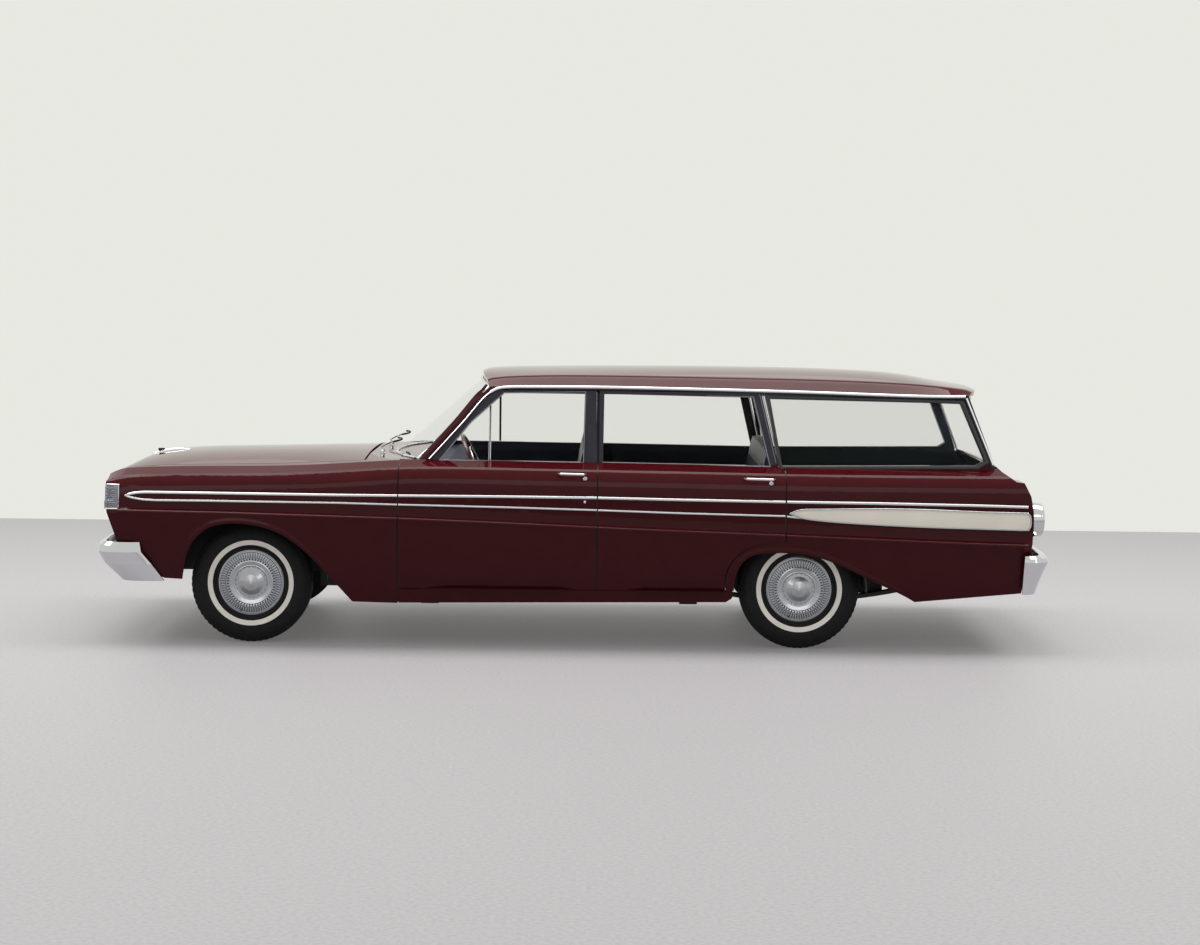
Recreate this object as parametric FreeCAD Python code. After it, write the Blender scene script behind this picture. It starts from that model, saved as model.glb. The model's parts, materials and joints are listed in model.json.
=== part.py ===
import FreeCAD, Part
import math
import os

# A five-door station wagon of the early sixties, in millimetres.
# The front of the car points to -X, its left side to -Y, and the floor is Z = 0.
# Pieces of the left side are built at -Y and mirrored to the right.

V = FreeCAD.Vector

# Overall sizes
LENGTH = 4870.0
WHEELBASE = 2781.0
FRONT_OVERHANG = 799.5
CREST_HALF_WIDTH = 905.0
FAR_SIDE = CREST_HALF_WIDTH + 45.0
CREST_HEIGHT_FRONT = 670.0
CREST_HEIGHT_REAR = 543.0

# Clearances and sheet thicknesses
SHUT_GAP = 6.0
SEAT_GAP = 0.3
FENDER_SKIN = 6.0
DOOR_SKIN = 8.0
HOOD_THICKNESS = 22.0
FLOOR_THICKNESS = 8.0
GLASS_THICKNESS = 5.0

# Wheels
TYRE_RADIUS = 305.0
TYRE_WIDTH = 172.0
RIM_RADIUS = 166.0
RIM_WIDTH = 118.0
WHEEL_HEIGHT = TYRE_RADIUS
FRONT_WHEEL_Y = 698.5
REAR_WHEEL_Y = 711.0
KINGPIN_Y = 640.0
SPINDLE_RADIUS = 15.0

# Heights of the body
ROCKER_BOTTOM = 218.0
ROCKER_TOP = 292.0
BELT = 937.0
RAIL_BOTTOM = 1299.0
RAIL_TOP = 1322.0
FLOOR_TOP = 262.0
CARGO_FLOOR = 598.0

# Widths of the body
DOOR_INNER_Y = 776.0
BELT_INNER_Y = 706.0
BELT_GLASS_Y = 746.0
TUMBLEHOME = 0.234
FRAME_THICKNESS = 30.0
HOOD_HALF_WIDTH = 664.0
TAILGATE_HALF_WIDTH = 612.0

# Stations along the car
FRONT_X = -LENGTH / 2
REAR_X = LENGTH / 2
FRONT_AXLE_X = FRONT_X + FRONT_OVERHANG
REAR_AXLE_X = FRONT_AXLE_X + WHEELBASE
FRONT_DOOR_X = FRONT_AXLE_X + 750.5
DOOR_SPLIT_X = REAR_AXLE_X - 1028.5
REAR_DOOR_X = REAR_AXLE_X - 83.0
HOOD_REAR_X = FRONT_AXLE_X + 561.5
BODY_FRONT_X = FRONT_AXLE_X - 733.5
BODY_REAR_X = REAR_AXLE_X + 1177.5

# Hinges
DOOR_HINGE_SETBACK = 70.0
DOOR_HINGE_Y = 864.0
HINGE_RADIUS = 8.0
TAILGATE_HINGE_Z = 561.0
HOOD_HINGE_Z = 944.0


def box(x0, x1, y0, y1, z0, z1):
    """Box between two corners."""
    return Part.makeBox(x1 - x0, y1 - y0, z1 - z0, V(x0, y0, z0))


def rod(start, end, radius):
    """Solid cylinder between two points."""
    axis = end - start
    return Part.makeCylinder(radius, axis.Length, start, axis)


def line(a, b):
    return Part.LineSegment(a, b).toShape()


def curve(points, spacing=None):
    """One smooth edge through the points, or a straight one between two.

    Sections that are lofted together share one spacing, which keeps the skin even.
    """
    if len(points) == 2:
        return line(points[0], points[1])
    spline = Part.BSplineCurve()
    if spacing is None:
        spline.interpolate(points)
    else:
        spline.interpolate(Points=points, Parameters=spacing)
    return spline.toShape()


def side_face(runs):
    """Face in the XZ plane, bounded by runs of (x, z) points."""
    edges = [curve([V(x, 0, z) for x, z in run]) for run in runs]
    return Part.Face(Part.Wire(edges))


def polygon_runs(points):
    """Straight runs that close a polygon."""
    return [[points[i], points[(i + 1) % len(points)]] for i in range(len(points))]


def across(runs, y0, y1):
    """Prism along Y of a side outline."""
    face = side_face(runs)
    face.translate(V(0, y0, 0))
    return face.extrude(V(0, y1 - y0, 0))


def across_polygon(points, y0, y1):
    return across(polygon_runs(points), y0, y1)


def along(points, x0, x1):
    """Prism along X of a polygon of (y, z) points."""
    wire = Part.makePolygon([V(x0, y, z) for y, z in points + points[:1]])
    return Part.Face(wire).extrude(V(x1 - x0, 0, 0))


def upward(points, z0, z1):
    """Prism along Z of a polygon of (x, y) points."""
    wire = Part.makePolygon([V(x, y, z0) for x, y in points + points[:1]])
    return Part.Face(wire).extrude(V(0, 0, z1 - z0))


def turned(profile, centre, axis=None):
    """Solid of revolution about an axis along Y; profile holds (radius, y)."""
    wire = Part.makePolygon([V(r, y, 0) for r, y in profile + profile[:1]])
    solid = Part.Face(wire).revolve(V(0, 0, 0), V(0, 1, 0), 360)
    solid.translate(centre)
    return solid


def strip(points, thickness):
    """Outline of a bent sheet: the points, and back along them at thickness below."""
    back = []
    for i, (x, z) in enumerate(points):
        before = points[max(i - 1, 0)]
        after = points[min(i + 1, len(points) - 1)]
        first = math.atan2(z - before[1], x - before[0]) if i else None
        last = math.atan2(after[1] - z, after[0] - x) if i < len(points) - 1 else None
        first = last if first is None else first
        last = first if last is None else last
        middle = (first + last) / 2
        reach = thickness / math.cos((last - first) / 2)
        back.append((x + reach * math.sin(middle), z - reach * math.cos(middle)))
    return points + back[::-1]


def mirrored(shape):
    return shape.mirror(V(0, 0, 0), V(0, 1, 0))


def both(shape):
    """The left piece and its mirror image as one shape."""
    return Part.makeCompound([shape, mirrored(shape)])


def fused(shapes):
    result = shapes[0].fuse(shapes[1:]) if len(shapes) > 1 else shapes[0]
    return result.removeSplitter()


def smooth(knots):
    """Monotone cubic through (x, value) knots, flat past both ends."""
    xs = [k[0] for k in knots]
    values = [k[1] for k in knots]
    spans = range(len(xs) - 1)
    slopes = [(values[i + 1] - values[i]) / (xs[i + 1] - xs[i]) for i in spans]
    ends = [slopes[0]]
    for before, after in zip(slopes, slopes[1:]):
        ends.append(0.0 if before * after <= 0 else 2 * before * after / (before + after))
    ends.append(slopes[-1])

    def value(x):
        x = min(max(x, xs[0]), xs[-1])
        i = max(k for k in spans if xs[k] <= x)
        width = xs[i + 1] - xs[i]
        t = (x - xs[i]) / width
        return ((1 + 2 * t) * (1 - t) ** 2 * values[i] + t * (1 - t) ** 2 * width * ends[i]
                + t * t * (3 - 2 * t) * values[i + 1] + t * t * (t - 1) * width * ends[i + 1])
    return value


# Lines of the body along the car
plan_scale = smooth([(FRONT_X - 40, 0.935), (FRONT_AXLE_X - 350, 0.98), (FRONT_AXLE_X + 400, 1.0),
                     (REAR_AXLE_X + 100, 1.0), (REAR_AXLE_X + 800, 0.98), (REAR_X + 40, 0.942)])
crest_z = smooth([(FRONT_X, CREST_HEIGHT_FRONT), (FRONT_AXLE_X + 743, 649.0),
                  (REAR_AXLE_X - 922, 611.0), (REAR_X, CREST_HEIGHT_REAR)])
sill_z = smooth([(FRONT_AXLE_X - 790, 815.0), (FRONT_AXLE_X - 712, 852.0), (FRONT_AXLE_X - 682, 866.0),
                 (FRONT_AXLE_X - 586, 881.0), (FRONT_AXLE_X + 250, 904.0), (FRONT_AXLE_X + 703, 934.0),
                 (FRONT_AXLE_X + 900, BELT + 3), (REAR_AXLE_X - 160, BELT - 11),
                 (REAR_AXLE_X + 500, BELT - 14), (REAR_X, BELT - 14)])
sill_y = smooth([(FRONT_X, 690.0), (FRONT_AXLE_X, 722.0), (FRONT_AXLE_X + 900, 742.0),
                 (REAR_AXLE_X - 900, BELT_GLASS_Y + 8), (REAR_AXLE_X, BELT_GLASS_Y + 4),
                 (REAR_AXLE_X + 600, 736.0), (REAR_X, 704.0)])
crown_z = smooth([(FRONT_AXLE_X - 790, 790.0), (FRONT_AXLE_X - 733, 817.0), (FRONT_AXLE_X - 692, 857.0),
                  (FRONT_AXLE_X - 630, 897.0), (FRONT_AXLE_X - 507, 920.0), (FRONT_AXLE_X + 56, 945.0),
                  (FRONT_AXLE_X + 365, 949.0), (REAR_X, 949.0)])

SECTION_X = [FRONT_AXLE_X + d for d in (-790, -733, -692, -630, -507, -200, 250, 745, 1350)]
SECTION_X += [REAR_AXLE_X + d for d in (-900, -250, 300, 800, 1080, 1270)]


def side_keys(x):
    """Key points of the left side at x: y outward, z, and the outward normal."""
    scale = plan_scale(x)
    crest = crest_z(x)
    top = sill_z(x)
    half = CREST_HALF_WIDTH * scale
    return [(half - 93, 190.0, 0.95, -0.3), (half - 67, 290.0, 0.97, -0.24),
            (half - 36, 400.0, 0.98, -0.19), (half - 14, 520.0, 0.99, -0.14),
            (half, crest - 8, 1.0, 0.0), (half - 17, crest + 24, 0.93, 0.36),
            (half - 20, 722.0, 1.0, 0.02), (half - 25, top - 128, 0.99, 0.08),
            (half - 41, top - 76, 0.88, 0.47), (half - 78, top - 30, 0.55, 0.83),
            (sill_y(x) * min(1.0, scale + 0.03), top, 0.12, 0.99)]


def side_points(x, depth):
    return [V(x, -(y - depth * ny), z - depth * nz) for y, z, ny, nz in side_keys(x)]


def hull(depth):
    """Closed lower body from the centre plane to the left side, inset by depth."""
    wires = []
    for x in SECTION_X:
        points = side_points(x, depth)
        top = V(x, 0, crown_z(x) - depth)
        edges = [curve(points[0:5]), line(points[4], points[5]), curve(points[5:10]),
                 line(points[9], points[10])]
        middle = V(x, points[10].y * 0.5, top.z - (top.z - points[10].z) * 0.22)
        edges.append(curve([points[10], middle, top]))
        foot = V(x, 0, points[0].z)
        edges.append(line(top, foot))
        edges.append(line(foot, points[0]))
        wires.append(Part.Wire(edges))
    return Part.makeLoft(wires, True, False)


HULL = hull(0.0)
HULL_FENDER = hull(FENDER_SKIN)
HULL_DOOR = hull(DOOR_SKIN)
HULL_BOX = hull(DOOR_SKIN * 0.5)
HULL_HOOD = hull(HOOD_THICKNESS)


def frame_y(x, z):
    """Outer |y| of the side frames above the belt."""
    return sill_y(x) - 1 - TUMBLEHOME * (z - BELT)


FRAME_X = [FRONT_AXLE_X + 700, FRONT_AXLE_X + 1350, REAR_AXLE_X - 900, REAR_AXLE_X - 200,
           REAR_AXLE_X + 500, REAR_AXLE_X + 1100]


def frame_slab(inset, thickness, low, high):
    """Leaning slab of the side frames, inset from their outer face."""
    wires = []
    for x in FRAME_X:
        corners = [(frame_y(x, low) - inset, low), (frame_y(x, high) - inset, high),
                   (frame_y(x, high) - inset - thickness, high), (frame_y(x, low) - inset - thickness, low)]
        points = [V(x, -y, z) for y, z in corners]
        wires.append(Part.makePolygon(points + points[:1]))
    return Part.makeLoft(wires, True, False)


def inner_space(x0, x1):
    """Room inside the door and wall trim, left half."""
    profile = [(1, 150), (-DOOR_INNER_Y, 150), (-DOOR_INNER_Y, 560), (-BELT_INNER_Y - 34, 800),
               (-BELT_INNER_Y, BELT), (-BELT_INNER_Y, BELT + 40), (1, BELT + 40)]
    return along(profile, x0, x1)


rail_z = smooth([(FRONT_DOOR_X + 404, 1306.0), (FRONT_DOOR_X + 700, 1316.0), (FRONT_DOOR_X + 1111, 1318.0),
                 (REAR_AXLE_X - 105, 1308.0), (REAR_AXLE_X + 500, 1296.0), (REAR_AXLE_X + 1000, 1292.0)])

# Outlines of doors and windows in the side view
A_LINE = [(FRONT_DOOR_X + 140, BELT + 4), (FRONT_DOOR_X + 300, 1118.0), (FRONT_DOOR_X + 415, 1240.0),
          (FRONT_DOOR_X + 492, RAIL_BOTTOM - 6)]
C_LINE = [(REAR_DOOR_X - 118, RAIL_BOTTOM - 6), (REAR_DOOR_X - 32, BELT + 2)]
ARCH_CUT = [(REAR_DOOR_X + 2, 560.0), (REAR_DOOR_X - 106, 547.0), (REAR_DOOR_X - 203, 510.0),
            (REAR_DOOR_X - 258, 464.0), (REAR_DOOR_X - 294, 392.0), (REAR_DOOR_X - 297, ROCKER_TOP + 6)]
FRONT_GLASS = [(FRONT_DOOR_X + 206, BELT + 4), (FRONT_DOOR_X + 360, 1130.0),
               (FRONT_DOOR_X + 524, RAIL_BOTTOM - 22), (DOOR_SPLIT_X - 69, RAIL_BOTTOM - 13),
               (DOOR_SPLIT_X - 76, BELT - 1)]
REAR_GLASS = [(DOOR_SPLIT_X + 27, BELT), (DOOR_SPLIT_X + 30, RAIL_BOTTOM - 19),
              (REAR_DOOR_X - 160, RAIL_BOTTOM - 29), (REAR_DOOR_X - 76, BELT - 8)]
QUARTER_GLASS = [(REAR_DOOR_X - 10, BELT - 8), (REAR_DOOR_X - 72, RAIL_BOTTOM - 35),
                 (REAR_DOOR_X + 724, RAIL_BOTTOM - 45), (REAR_DOOR_X + 898, RAIL_BOTTOM - 49),
                 (REAR_DOOR_X + 1018, BELT + 28), (REAR_DOOR_X + 978, BELT + 4)]


def front_door_outline(inset):
    """Front door seen from the side, drawn in from its shut line by inset."""
    front = FRONT_DOOR_X + SHUT_GAP / 2 + inset
    rear = DOOR_SPLIT_X - SHUT_GAP / 2 - inset
    low = ROCKER_TOP + SHUT_GAP + inset
    return [[(front, BELT + 4), (front, low)], [(front, low), (rear, low)],
            [(rear, low), (rear, BELT + 4)], [(rear, BELT + 4), (front, BELT + 4)]]


def front_frame_outline():
    rear = DOOR_SPLIT_X - SHUT_GAP / 2
    low = BELT - 60
    pillar = [(x, z) for x, z in A_LINE]
    top = [pillar[-1], (rear - 8, RAIL_BOTTOM - 4)]
    return [[(pillar[0][0], low), pillar[0]], pillar, top, [top[-1], (rear, BELT)],
            [(rear, BELT), (rear - 15, BELT - 8)], [(rear - 15, BELT - 8), (rear - 15, low)],
            [(rear - 15, low), (pillar[0][0], low)]]


def rear_door_outline(inset):
    front = DOOR_SPLIT_X + SHUT_GAP / 2 + inset
    low = ROCKER_TOP + SHUT_GAP + inset
    arch = [(x - inset, z + inset * 0.5) for x, z in ARCH_CUT[:-1]] + [(ARCH_CUT[-1][0] - inset, low)]
    waist = (REAR_DOOR_X - inset, BELT - 32)
    belt = (REAR_DOOR_X - 34 - inset, BELT + 1)
    return [[(front, belt[1]), (front, low)], [(front, low), arch[-1]], arch[::-1],
            [arch[0], waist], [waist, belt], [belt, (front, belt[1])]]


def rear_frame_outline():
    front = DOOR_SPLIT_X + SHUT_GAP / 2
    low = BELT - 60
    return polygon_runs([(front + 4, low), (front + 4, BELT), (front + 3, RAIL_BOTTOM - 4), C_LINE[0],
                         C_LINE[1], (C_LINE[1][0], low)])


def door(lower, inset_lower, frame, glass, hinge_x, extra_cut):
    """One left door: skin, box behind it, window frame and hinge barrels."""
    room = inner_space(FRONT_DOOR_X - 200, REAR_DOOR_X + 200)
    sill = -BELT_INNER_Y - 12
    skin = HULL.common(across(lower, -FAR_SIDE, sill)).cut(HULL_DOOR).cut(room)
    core = HULL_BOX.common(across(inset_lower, -FAR_SIDE, sill)).cut(room)
    if extra_cut is not None:
        core = core.cut(extra_cut)
    upper = frame_slab(0.0, FRAME_THICKNESS, BELT - 70, RAIL_BOTTOM + 20)
    upper = upper.common(across(frame, -FAR_SIDE, -600))
    panel = fused([skin, core, upper]).cut(across_polygon(glass, -FAR_SIDE, -600))
    pieces = [panel]
    for z in HINGE_Z:
        axis = V(hinge_x, -DOOR_HINGE_Y, 0)
        for low in (z + 16.0 + SEAT_GAP, z - 31.0 - SEAT_GAP):
            pieces.append(Part.makeCylinder(HINGE_RADIUS, 15.0, axis + V(0, 0, low)))
            pieces.append(box(hinge_x, hinge_x + 34, -DOOR_HINGE_Y - 4, -DOOR_HINGE_Y + 4, low, low + 15))
    return fused(pieces)


HINGE_Z = (530.0, 745.0)
FRONT_HINGE_X = FRONT_DOOR_X + DOOR_HINGE_SETBACK
REAR_HINGE_X = DOOR_SPLIT_X + DOOR_HINGE_SETBACK
BOX_INSET = DOOR_HINGE_SETBACK + 16.0


def shifted_front(outline, x):
    """Outline with its front edge moved back to x."""
    start = outline[0][0][0]
    return [[(x if abs(p[0] - start) < 0.01 else p[0], p[1]) for p in run] for run in outline]


front_core = shifted_front(front_door_outline(22.0), FRONT_DOOR_X + BOX_INSET)
rear_core = shifted_front(rear_door_outline(22.0), DOOR_SPLIT_X + BOX_INSET)
WHEELHOUSE_RADIUS = TYRE_RADIUS + 36.0
REAR_HUB = V(REAR_AXLE_X, 0, WHEEL_HEIGHT)
rear_core_cut = rod(REAR_HUB + V(0, -842, 0), REAR_HUB + V(0, -500, 0), WHEELHOUSE_RADIUS + 24)
door_front = door(front_door_outline(0.0), front_core, front_frame_outline(), FRONT_GLASS,
                  FRONT_HINGE_X, None)
door_front = door_front.cut(box(FRONT_DOOR_X - 10, FRONT_DOOR_X + 112, -732, -600, BELT - 60, BELT + 6))
door_rear = door(rear_door_outline(0.0), rear_core, rear_frame_outline(), REAR_GLASS,
                 REAR_HINGE_X, rear_core_cut)


def pane(outline, gap):
    """Side glass that fills a window outline but for the gap round it."""
    face = side_face(polygon_runs(outline)).makeOffset2D(-gap)
    face = Part.Face(face) if face.ShapeType == "Wire" else face
    face.translate(V(0, -FAR_SIDE, 0))
    prism = face.extrude(V(0, 400, 0))
    return frame_slab(12.0, GLASS_THICKNESS, BELT - 40, RAIL_BOTTOM + 10).common(prism)


glass_front = pane(FRONT_GLASS, SEAT_GAP)
glass_rear = pane(REAR_GLASS, SEAT_GAP)
glass_quarter = pane(QUARTER_GLASS, SEAT_GAP)

# Body side: rocker, pillars, quarter panel and roof rail
QUARTER_BOTTOM = [(REAR_DOOR_X - 253, 258.0), (REAR_DOOR_X + 664, 251.0), (REAR_DOOR_X + 984, 280.0),
                  (REAR_DOOR_X + 1203, 300.0)]
arch_open = [[(REAR_AXLE_X - 343, 200.0), (REAR_AXLE_X - 340, 296.0)],
             [(REAR_AXLE_X - 340, 296.0), (REAR_AXLE_X - 330, 358.0), (REAR_AXLE_X - 307, 428.0),
              (REAR_AXLE_X - 246, 483.0), (REAR_AXLE_X - 138, 500.0), (REAR_AXLE_X - 15, 497.0),
              (REAR_AXLE_X + 109, 472.0), (REAR_AXLE_X + 226, 427.0), (REAR_AXLE_X + 382, 351.0),
              (REAR_AXLE_X + 522, 286.0), (REAR_AXLE_X + 600, 240.0)],
             [(REAR_AXLE_X + 600, 240.0), (REAR_AXLE_X + 600, 200.0)],
             [(REAR_AXLE_X + 600, 200.0), (REAR_AXLE_X - 343, 200.0)]]
arch_edge = [(x + SHUT_GAP, z) for x, z in ARCH_CUT]
rear_profile = [(BODY_REAR_X - 160, BELT + 40), (BODY_REAR_X - 192, BELT + 1), (BODY_REAR_X - 91, 867.0),
                (BODY_REAR_X - 51, 862.0), (BODY_REAR_X - 19, 795.0), (BODY_REAR_X - 14, 765.0),
                (BODY_REAR_X - 5, 700.0), (BODY_REAR_X - 3, 640.0), (BODY_REAR_X - 9, 560.0),
                (BODY_REAR_X - 29, 480.0), (BODY_REAR_X - 53, 300.0)]
quarter_outline = [[(REAR_DOOR_X + SHUT_GAP, BELT + 1), arch_edge[0]], arch_edge,
                   [arch_edge[-1], (arch_edge[-1][0], 262.0)],
                   [(arch_edge[-1][0], 262.0), (REAR_DOOR_X + 664, 251.0)],
                   [(REAR_DOOR_X + 664, 251.0), (REAR_DOOR_X + 984, 280.0)],
                   [(REAR_DOOR_X + 984, 280.0), rear_profile[-1]]]
quarter_outline += [[a, b] for a, b in zip(rear_profile[:0:-1], rear_profile[-2:0:-1])]
quarter_outline += [[rear_profile[1], (REAR_DOOR_X + SHUT_GAP, BELT + 1)]]

quarter_room = inner_space(REAR_DOOR_X - 500, BODY_REAR_X - 150)
tail_room = along([(1, 150), (-TAILGATE_HALF_WIDTH - 6, 150), (-TAILGATE_HALF_WIDTH - 6, BELT + 60),
                   (1, BELT + 60)], BODY_REAR_X - 151, BODY_REAR_X + 40)
wheel_pocket = rod(REAR_HUB + V(0, -838, 0), REAR_HUB + V(0, -500, 0), WHEELHOUSE_RADIUS)
quarter = HULL.common(across(quarter_outline, -FAR_SIDE, -500)).cut(quarter_room).cut(tail_room)
quarter = quarter.cut(wheel_pocket).cut(across(arch_open, -FAR_SIDE, -500))

rocker = HULL.common(across_polygon([(FRONT_DOOR_X + SHUT_GAP / 2, ROCKER_BOTTOM),
                                     (REAR_DOOR_X - 290, ROCKER_BOTTOM + 22),
                                     (REAR_DOOR_X - 262, ROCKER_BOTTOM + 40),
                                     (REAR_DOOR_X - 262, ROCKER_TOP),
                                     (FRONT_DOOR_X + SHUT_GAP / 2, ROCKER_TOP)], -FAR_SIDE, -762))
rocker = rocker.cut(wheel_pocket)
PAD_FRONT_X = FRONT_DOOR_X + 160.0
PAD_REAR_X = REAR_DOOR_X - 480.0
PAD_Y = 788.0
PAD_BOTTOMS = (ROCKER_BOTTOM - 2, ROCKER_BOTTOM + 8)
jack_pads = [box(x - 45, x + 45, -PAD_Y - 22, -PAD_Y + 22, low, ROCKER_BOTTOM + 34)
             for x, low in zip((PAD_FRONT_X, PAD_REAR_X), PAD_BOTTOMS)]
rocker = fused([rocker] + jack_pads)

PILLAR_OUT = DOOR_INNER_Y + 2
a_post = box(FRONT_DOOR_X + 6, FRONT_HINGE_X - 6, -PILLAR_OUT, -BELT_INNER_Y - 34, ROCKER_TOP - 10, BELT - 40)
b_post = box(DOOR_SPLIT_X - 16, REAR_HINGE_X + 2, -PILLAR_OUT, -BELT_INNER_Y - 16, ROCKER_TOP - 10, 800.0)
hinge_leaves = []
for hinge_x in (FRONT_HINGE_X, REAR_HINGE_X):
    for z in HINGE_Z:
        hinge_leaves.append(Part.makeCylinder(HINGE_RADIUS, 32.0, V(hinge_x, -DOOR_HINGE_Y, z - 16)))
        hinge_leaves.append(box(hinge_x - 6, hinge_x + 6, -DOOR_HINGE_Y, -PILLAR_OUT + 8, z - 16, z + 16))

upper_inset = FRAME_THICKNESS + 12.0
b_upper = frame_slab(upper_inset, 22.0, 700.0, RAIL_TOP)
b_upper = b_upper.common(across_polygon([(DOOR_SPLIT_X - 14, 700.0), (DOOR_SPLIT_X + 16, 700.0),
                                         (DOOR_SPLIT_X + 16, RAIL_TOP), (DOOR_SPLIT_X - 40, RAIL_TOP)],
                                        -FAR_SIDE, -500))
rail = frame_slab(-4.0, 48.0, RAIL_BOTTOM, RAIL_TOP)
rail = rail.common(box(FRONT_DOOR_X + 452, REAR_DOOR_X + 940, -900, -500, 1200, 1400))
inner_rail = frame_slab(upper_inset, 18.0, RAIL_BOTTOM - 22, RAIL_TOP)
inner_rail = inner_rail.common(box(FRONT_DOOR_X + 460, REAR_DOOR_X + 60, -900, -500, 1200, 1400))
rear_side = frame_slab(0.0, FRAME_THICKNESS, BELT - 40, RAIL_TOP)
rear_side_outline = [(REAR_DOOR_X + SHUT_GAP, BELT - 40), (REAR_DOOR_X + SHUT_GAP, BELT - 32),
                     (REAR_DOOR_X - 23, BELT + 2), (REAR_DOOR_X - 110, RAIL_TOP), (REAR_DOOR_X + 936, RAIL_TOP),
                     (REAR_DOOR_X + 948, 1276.0), (REAR_DOOR_X + 1072, BELT), (REAR_DOOR_X + 1072, BELT - 40)]
rear_side = rear_side.common(across_polygon(rear_side_outline, -FAR_SIDE, -500))
rear_side = rear_side.cut(across_polygon(QUARTER_GLASS, -FAR_SIDE, -500))

PILLAR_DEPTH = 42.0


def a_section(x, z, inner, outer=None):
    """Section of the windshield pillar whose rear edge is at x."""
    outer = outer or frame_y(x, z)
    points = [V(x - PILLAR_DEPTH, -inner, z), V(x - PILLAR_DEPTH + 8, -outer + 6, z), V(x, -outer, z),
              V(x, -inner + 4, z)]
    return Part.makePolygon(points + points[:1])


a_upper = Part.makeLoft([a_section(FRONT_DOOR_X + 72, BELT - 60, 676.0, 714.0),
                         a_section(A_LINE[0][0] - 8, A_LINE[0][1] + 2, 676.0, 714.0),
                         a_section(A_LINE[1][0] - 9, A_LINE[1][1], 630.0),
                         a_section(A_LINE[2][0] - 9, A_LINE[2][1], 607.0),
                         a_section(A_LINE[3][0] + 6, RAIL_TOP, 592.0)], True, True)
RAIL_X = [FRONT_DOOR_X + 340 + 90 * i for i in range(30)]


def beside_rail(rise, far):
    """Prism between the top line of the rail, lifted by rise, and the height far."""
    edge = [(x, rail_z(x) + rise) for x in RAIL_X]
    return across([edge, [edge[-1], (RAIL_X[-1], far)], [(RAIL_X[-1], far), (RAIL_X[0], far)],
                   [(RAIL_X[0], far), edge[0]]], -FAR_SIDE, -400)


above_rail = beside_rail(0.0, 1500.0)
body_side = fused([quarter, rocker, a_post, b_post, b_upper, rail, inner_rail, rear_side, a_upper]
                  + hinge_leaves).cut(above_rail)

# Front fenders: outer skin with the drop flange beside the hood
FENDER_REAR_X = FRONT_DOOR_X - SHUT_GAP / 2
fender_outline = [[(BODY_FRONT_X + 6, 1000.0), (BODY_FRONT_X + 6, 740.0)],
                  [(BODY_FRONT_X + 6, 740.0), (BODY_FRONT_X + 17, 667.0)],
                  [(BODY_FRONT_X + 17, 667.0), (BODY_FRONT_X + 67, 522.0)],
                  [(BODY_FRONT_X + 67, 522.0), (BODY_FRONT_X + 110, 400.0)],
                  [(BODY_FRONT_X + 110, 400.0), (BODY_FRONT_X + 306, 331.0)],
                  [(BODY_FRONT_X + 306, 331.0), (FRONT_AXLE_X - 339, 327.0)],
                  [(FRONT_AXLE_X - 339, 327.0), (FRONT_AXLE_X - 320, 424.0), (FRONT_AXLE_X - 286, 512.0),
                   (FRONT_AXLE_X - 238, 566.0), (FRONT_AXLE_X - 172, 604.0), (FRONT_AXLE_X - 71, 617.0),
                   (FRONT_AXLE_X + 36, 608.0), (FRONT_AXLE_X + 143, 576.0), (FRONT_AXLE_X + 237, 519.0),
                   (FRONT_AXLE_X + 345, 418.0), (FRONT_AXLE_X + 446, 305.0), (FRONT_AXLE_X + 519, 221.0)],
                  [(FRONT_AXLE_X + 519, 221.0), (FENDER_REAR_X, ROCKER_BOTTOM - 2)],
                  [(FENDER_REAR_X, ROCKER_BOTTOM - 2), (FENDER_REAR_X, 1000.0)],
                  [(FENDER_REAR_X, 1000.0), (BODY_FRONT_X + 6, 1000.0)]]
FENDER_EDGE_Y = HOOD_HALF_WIDTH + SHUT_GAP
fender_side = HULL.cut(HULL_FENDER).common(across(fender_outline, -FAR_SIDE, -FENDER_EDGE_Y))
fender_flange = HULL.common(box(BODY_FRONT_X + 30, FENDER_REAR_X, -FENDER_EDGE_Y - 6, -FENDER_EDGE_Y, 780, 1000))
fender_flange = fender_flange.cut(across_polygon([(BODY_FRONT_X - 50, 700), (BODY_FRONT_X - 50, 826),
                                                  (BODY_FRONT_X + 100, 840), (FENDER_REAR_X + 10, 862),
                                                  (FENDER_REAR_X + 10, 700)], -900, -500))
fender = fused([fender_side, fender_flange])

# Hood
hood_rear = HOOD_REAR_X
hood_left = HULL.cut(HULL_HOOD).common(box(BODY_FRONT_X, hood_rear, -HOOD_HALF_WIDTH, 0, 820.0, 1000.0))
hood = fused([hood_left, mirrored(hood_left)])

# Cowl with its vent plateau, and the firewall
cowl_front = HOOD_REAR_X + 10.0
plateau = across_polygon([(cowl_front, BELT + 7), (cowl_front + 79, BELT - 1), (FRONT_DOOR_X + 116, BELT - 1),
                          (FRONT_DOOR_X + 116, BELT - 21), (cowl_front, BELT - 21)], -FENDER_EDGE_Y - 0, 0)
plateau = plateau.common(HULL)
firewall = box(FRONT_DOOR_X - 10, FRONT_DOOR_X - 4, -734, 0, 268.0, BELT - 20)
firewall = firewall.cut(box(FRONT_DOOR_X - 20, FRONT_DOOR_X, -740, -FENDER_EDGE_Y + 2, 850.0, BELT))
firewall = firewall.cut(along([(-176, 200), (-176, 556), (-136, 596), (1, 596), (1, 200)],
                              FRONT_DOOR_X - 20, FRONT_DOOR_X))
firewall = firewall.cut(box(FRONT_DOOR_X - 20, FRONT_DOOR_X, -441, -371, 329, 421))
hood_rest = hull(HOOD_THICKNESS + SEAT_GAP).common(box(HOOD_REAR_X - 14, cowl_front + 2, -560, -480, 900, 960))
rest_foot = box(cowl_front, cowl_front + 16, -560, -480, 900, BELT - 15)
cowl_half = fused([plateau, firewall, hood_rest, rest_foot])
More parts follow.
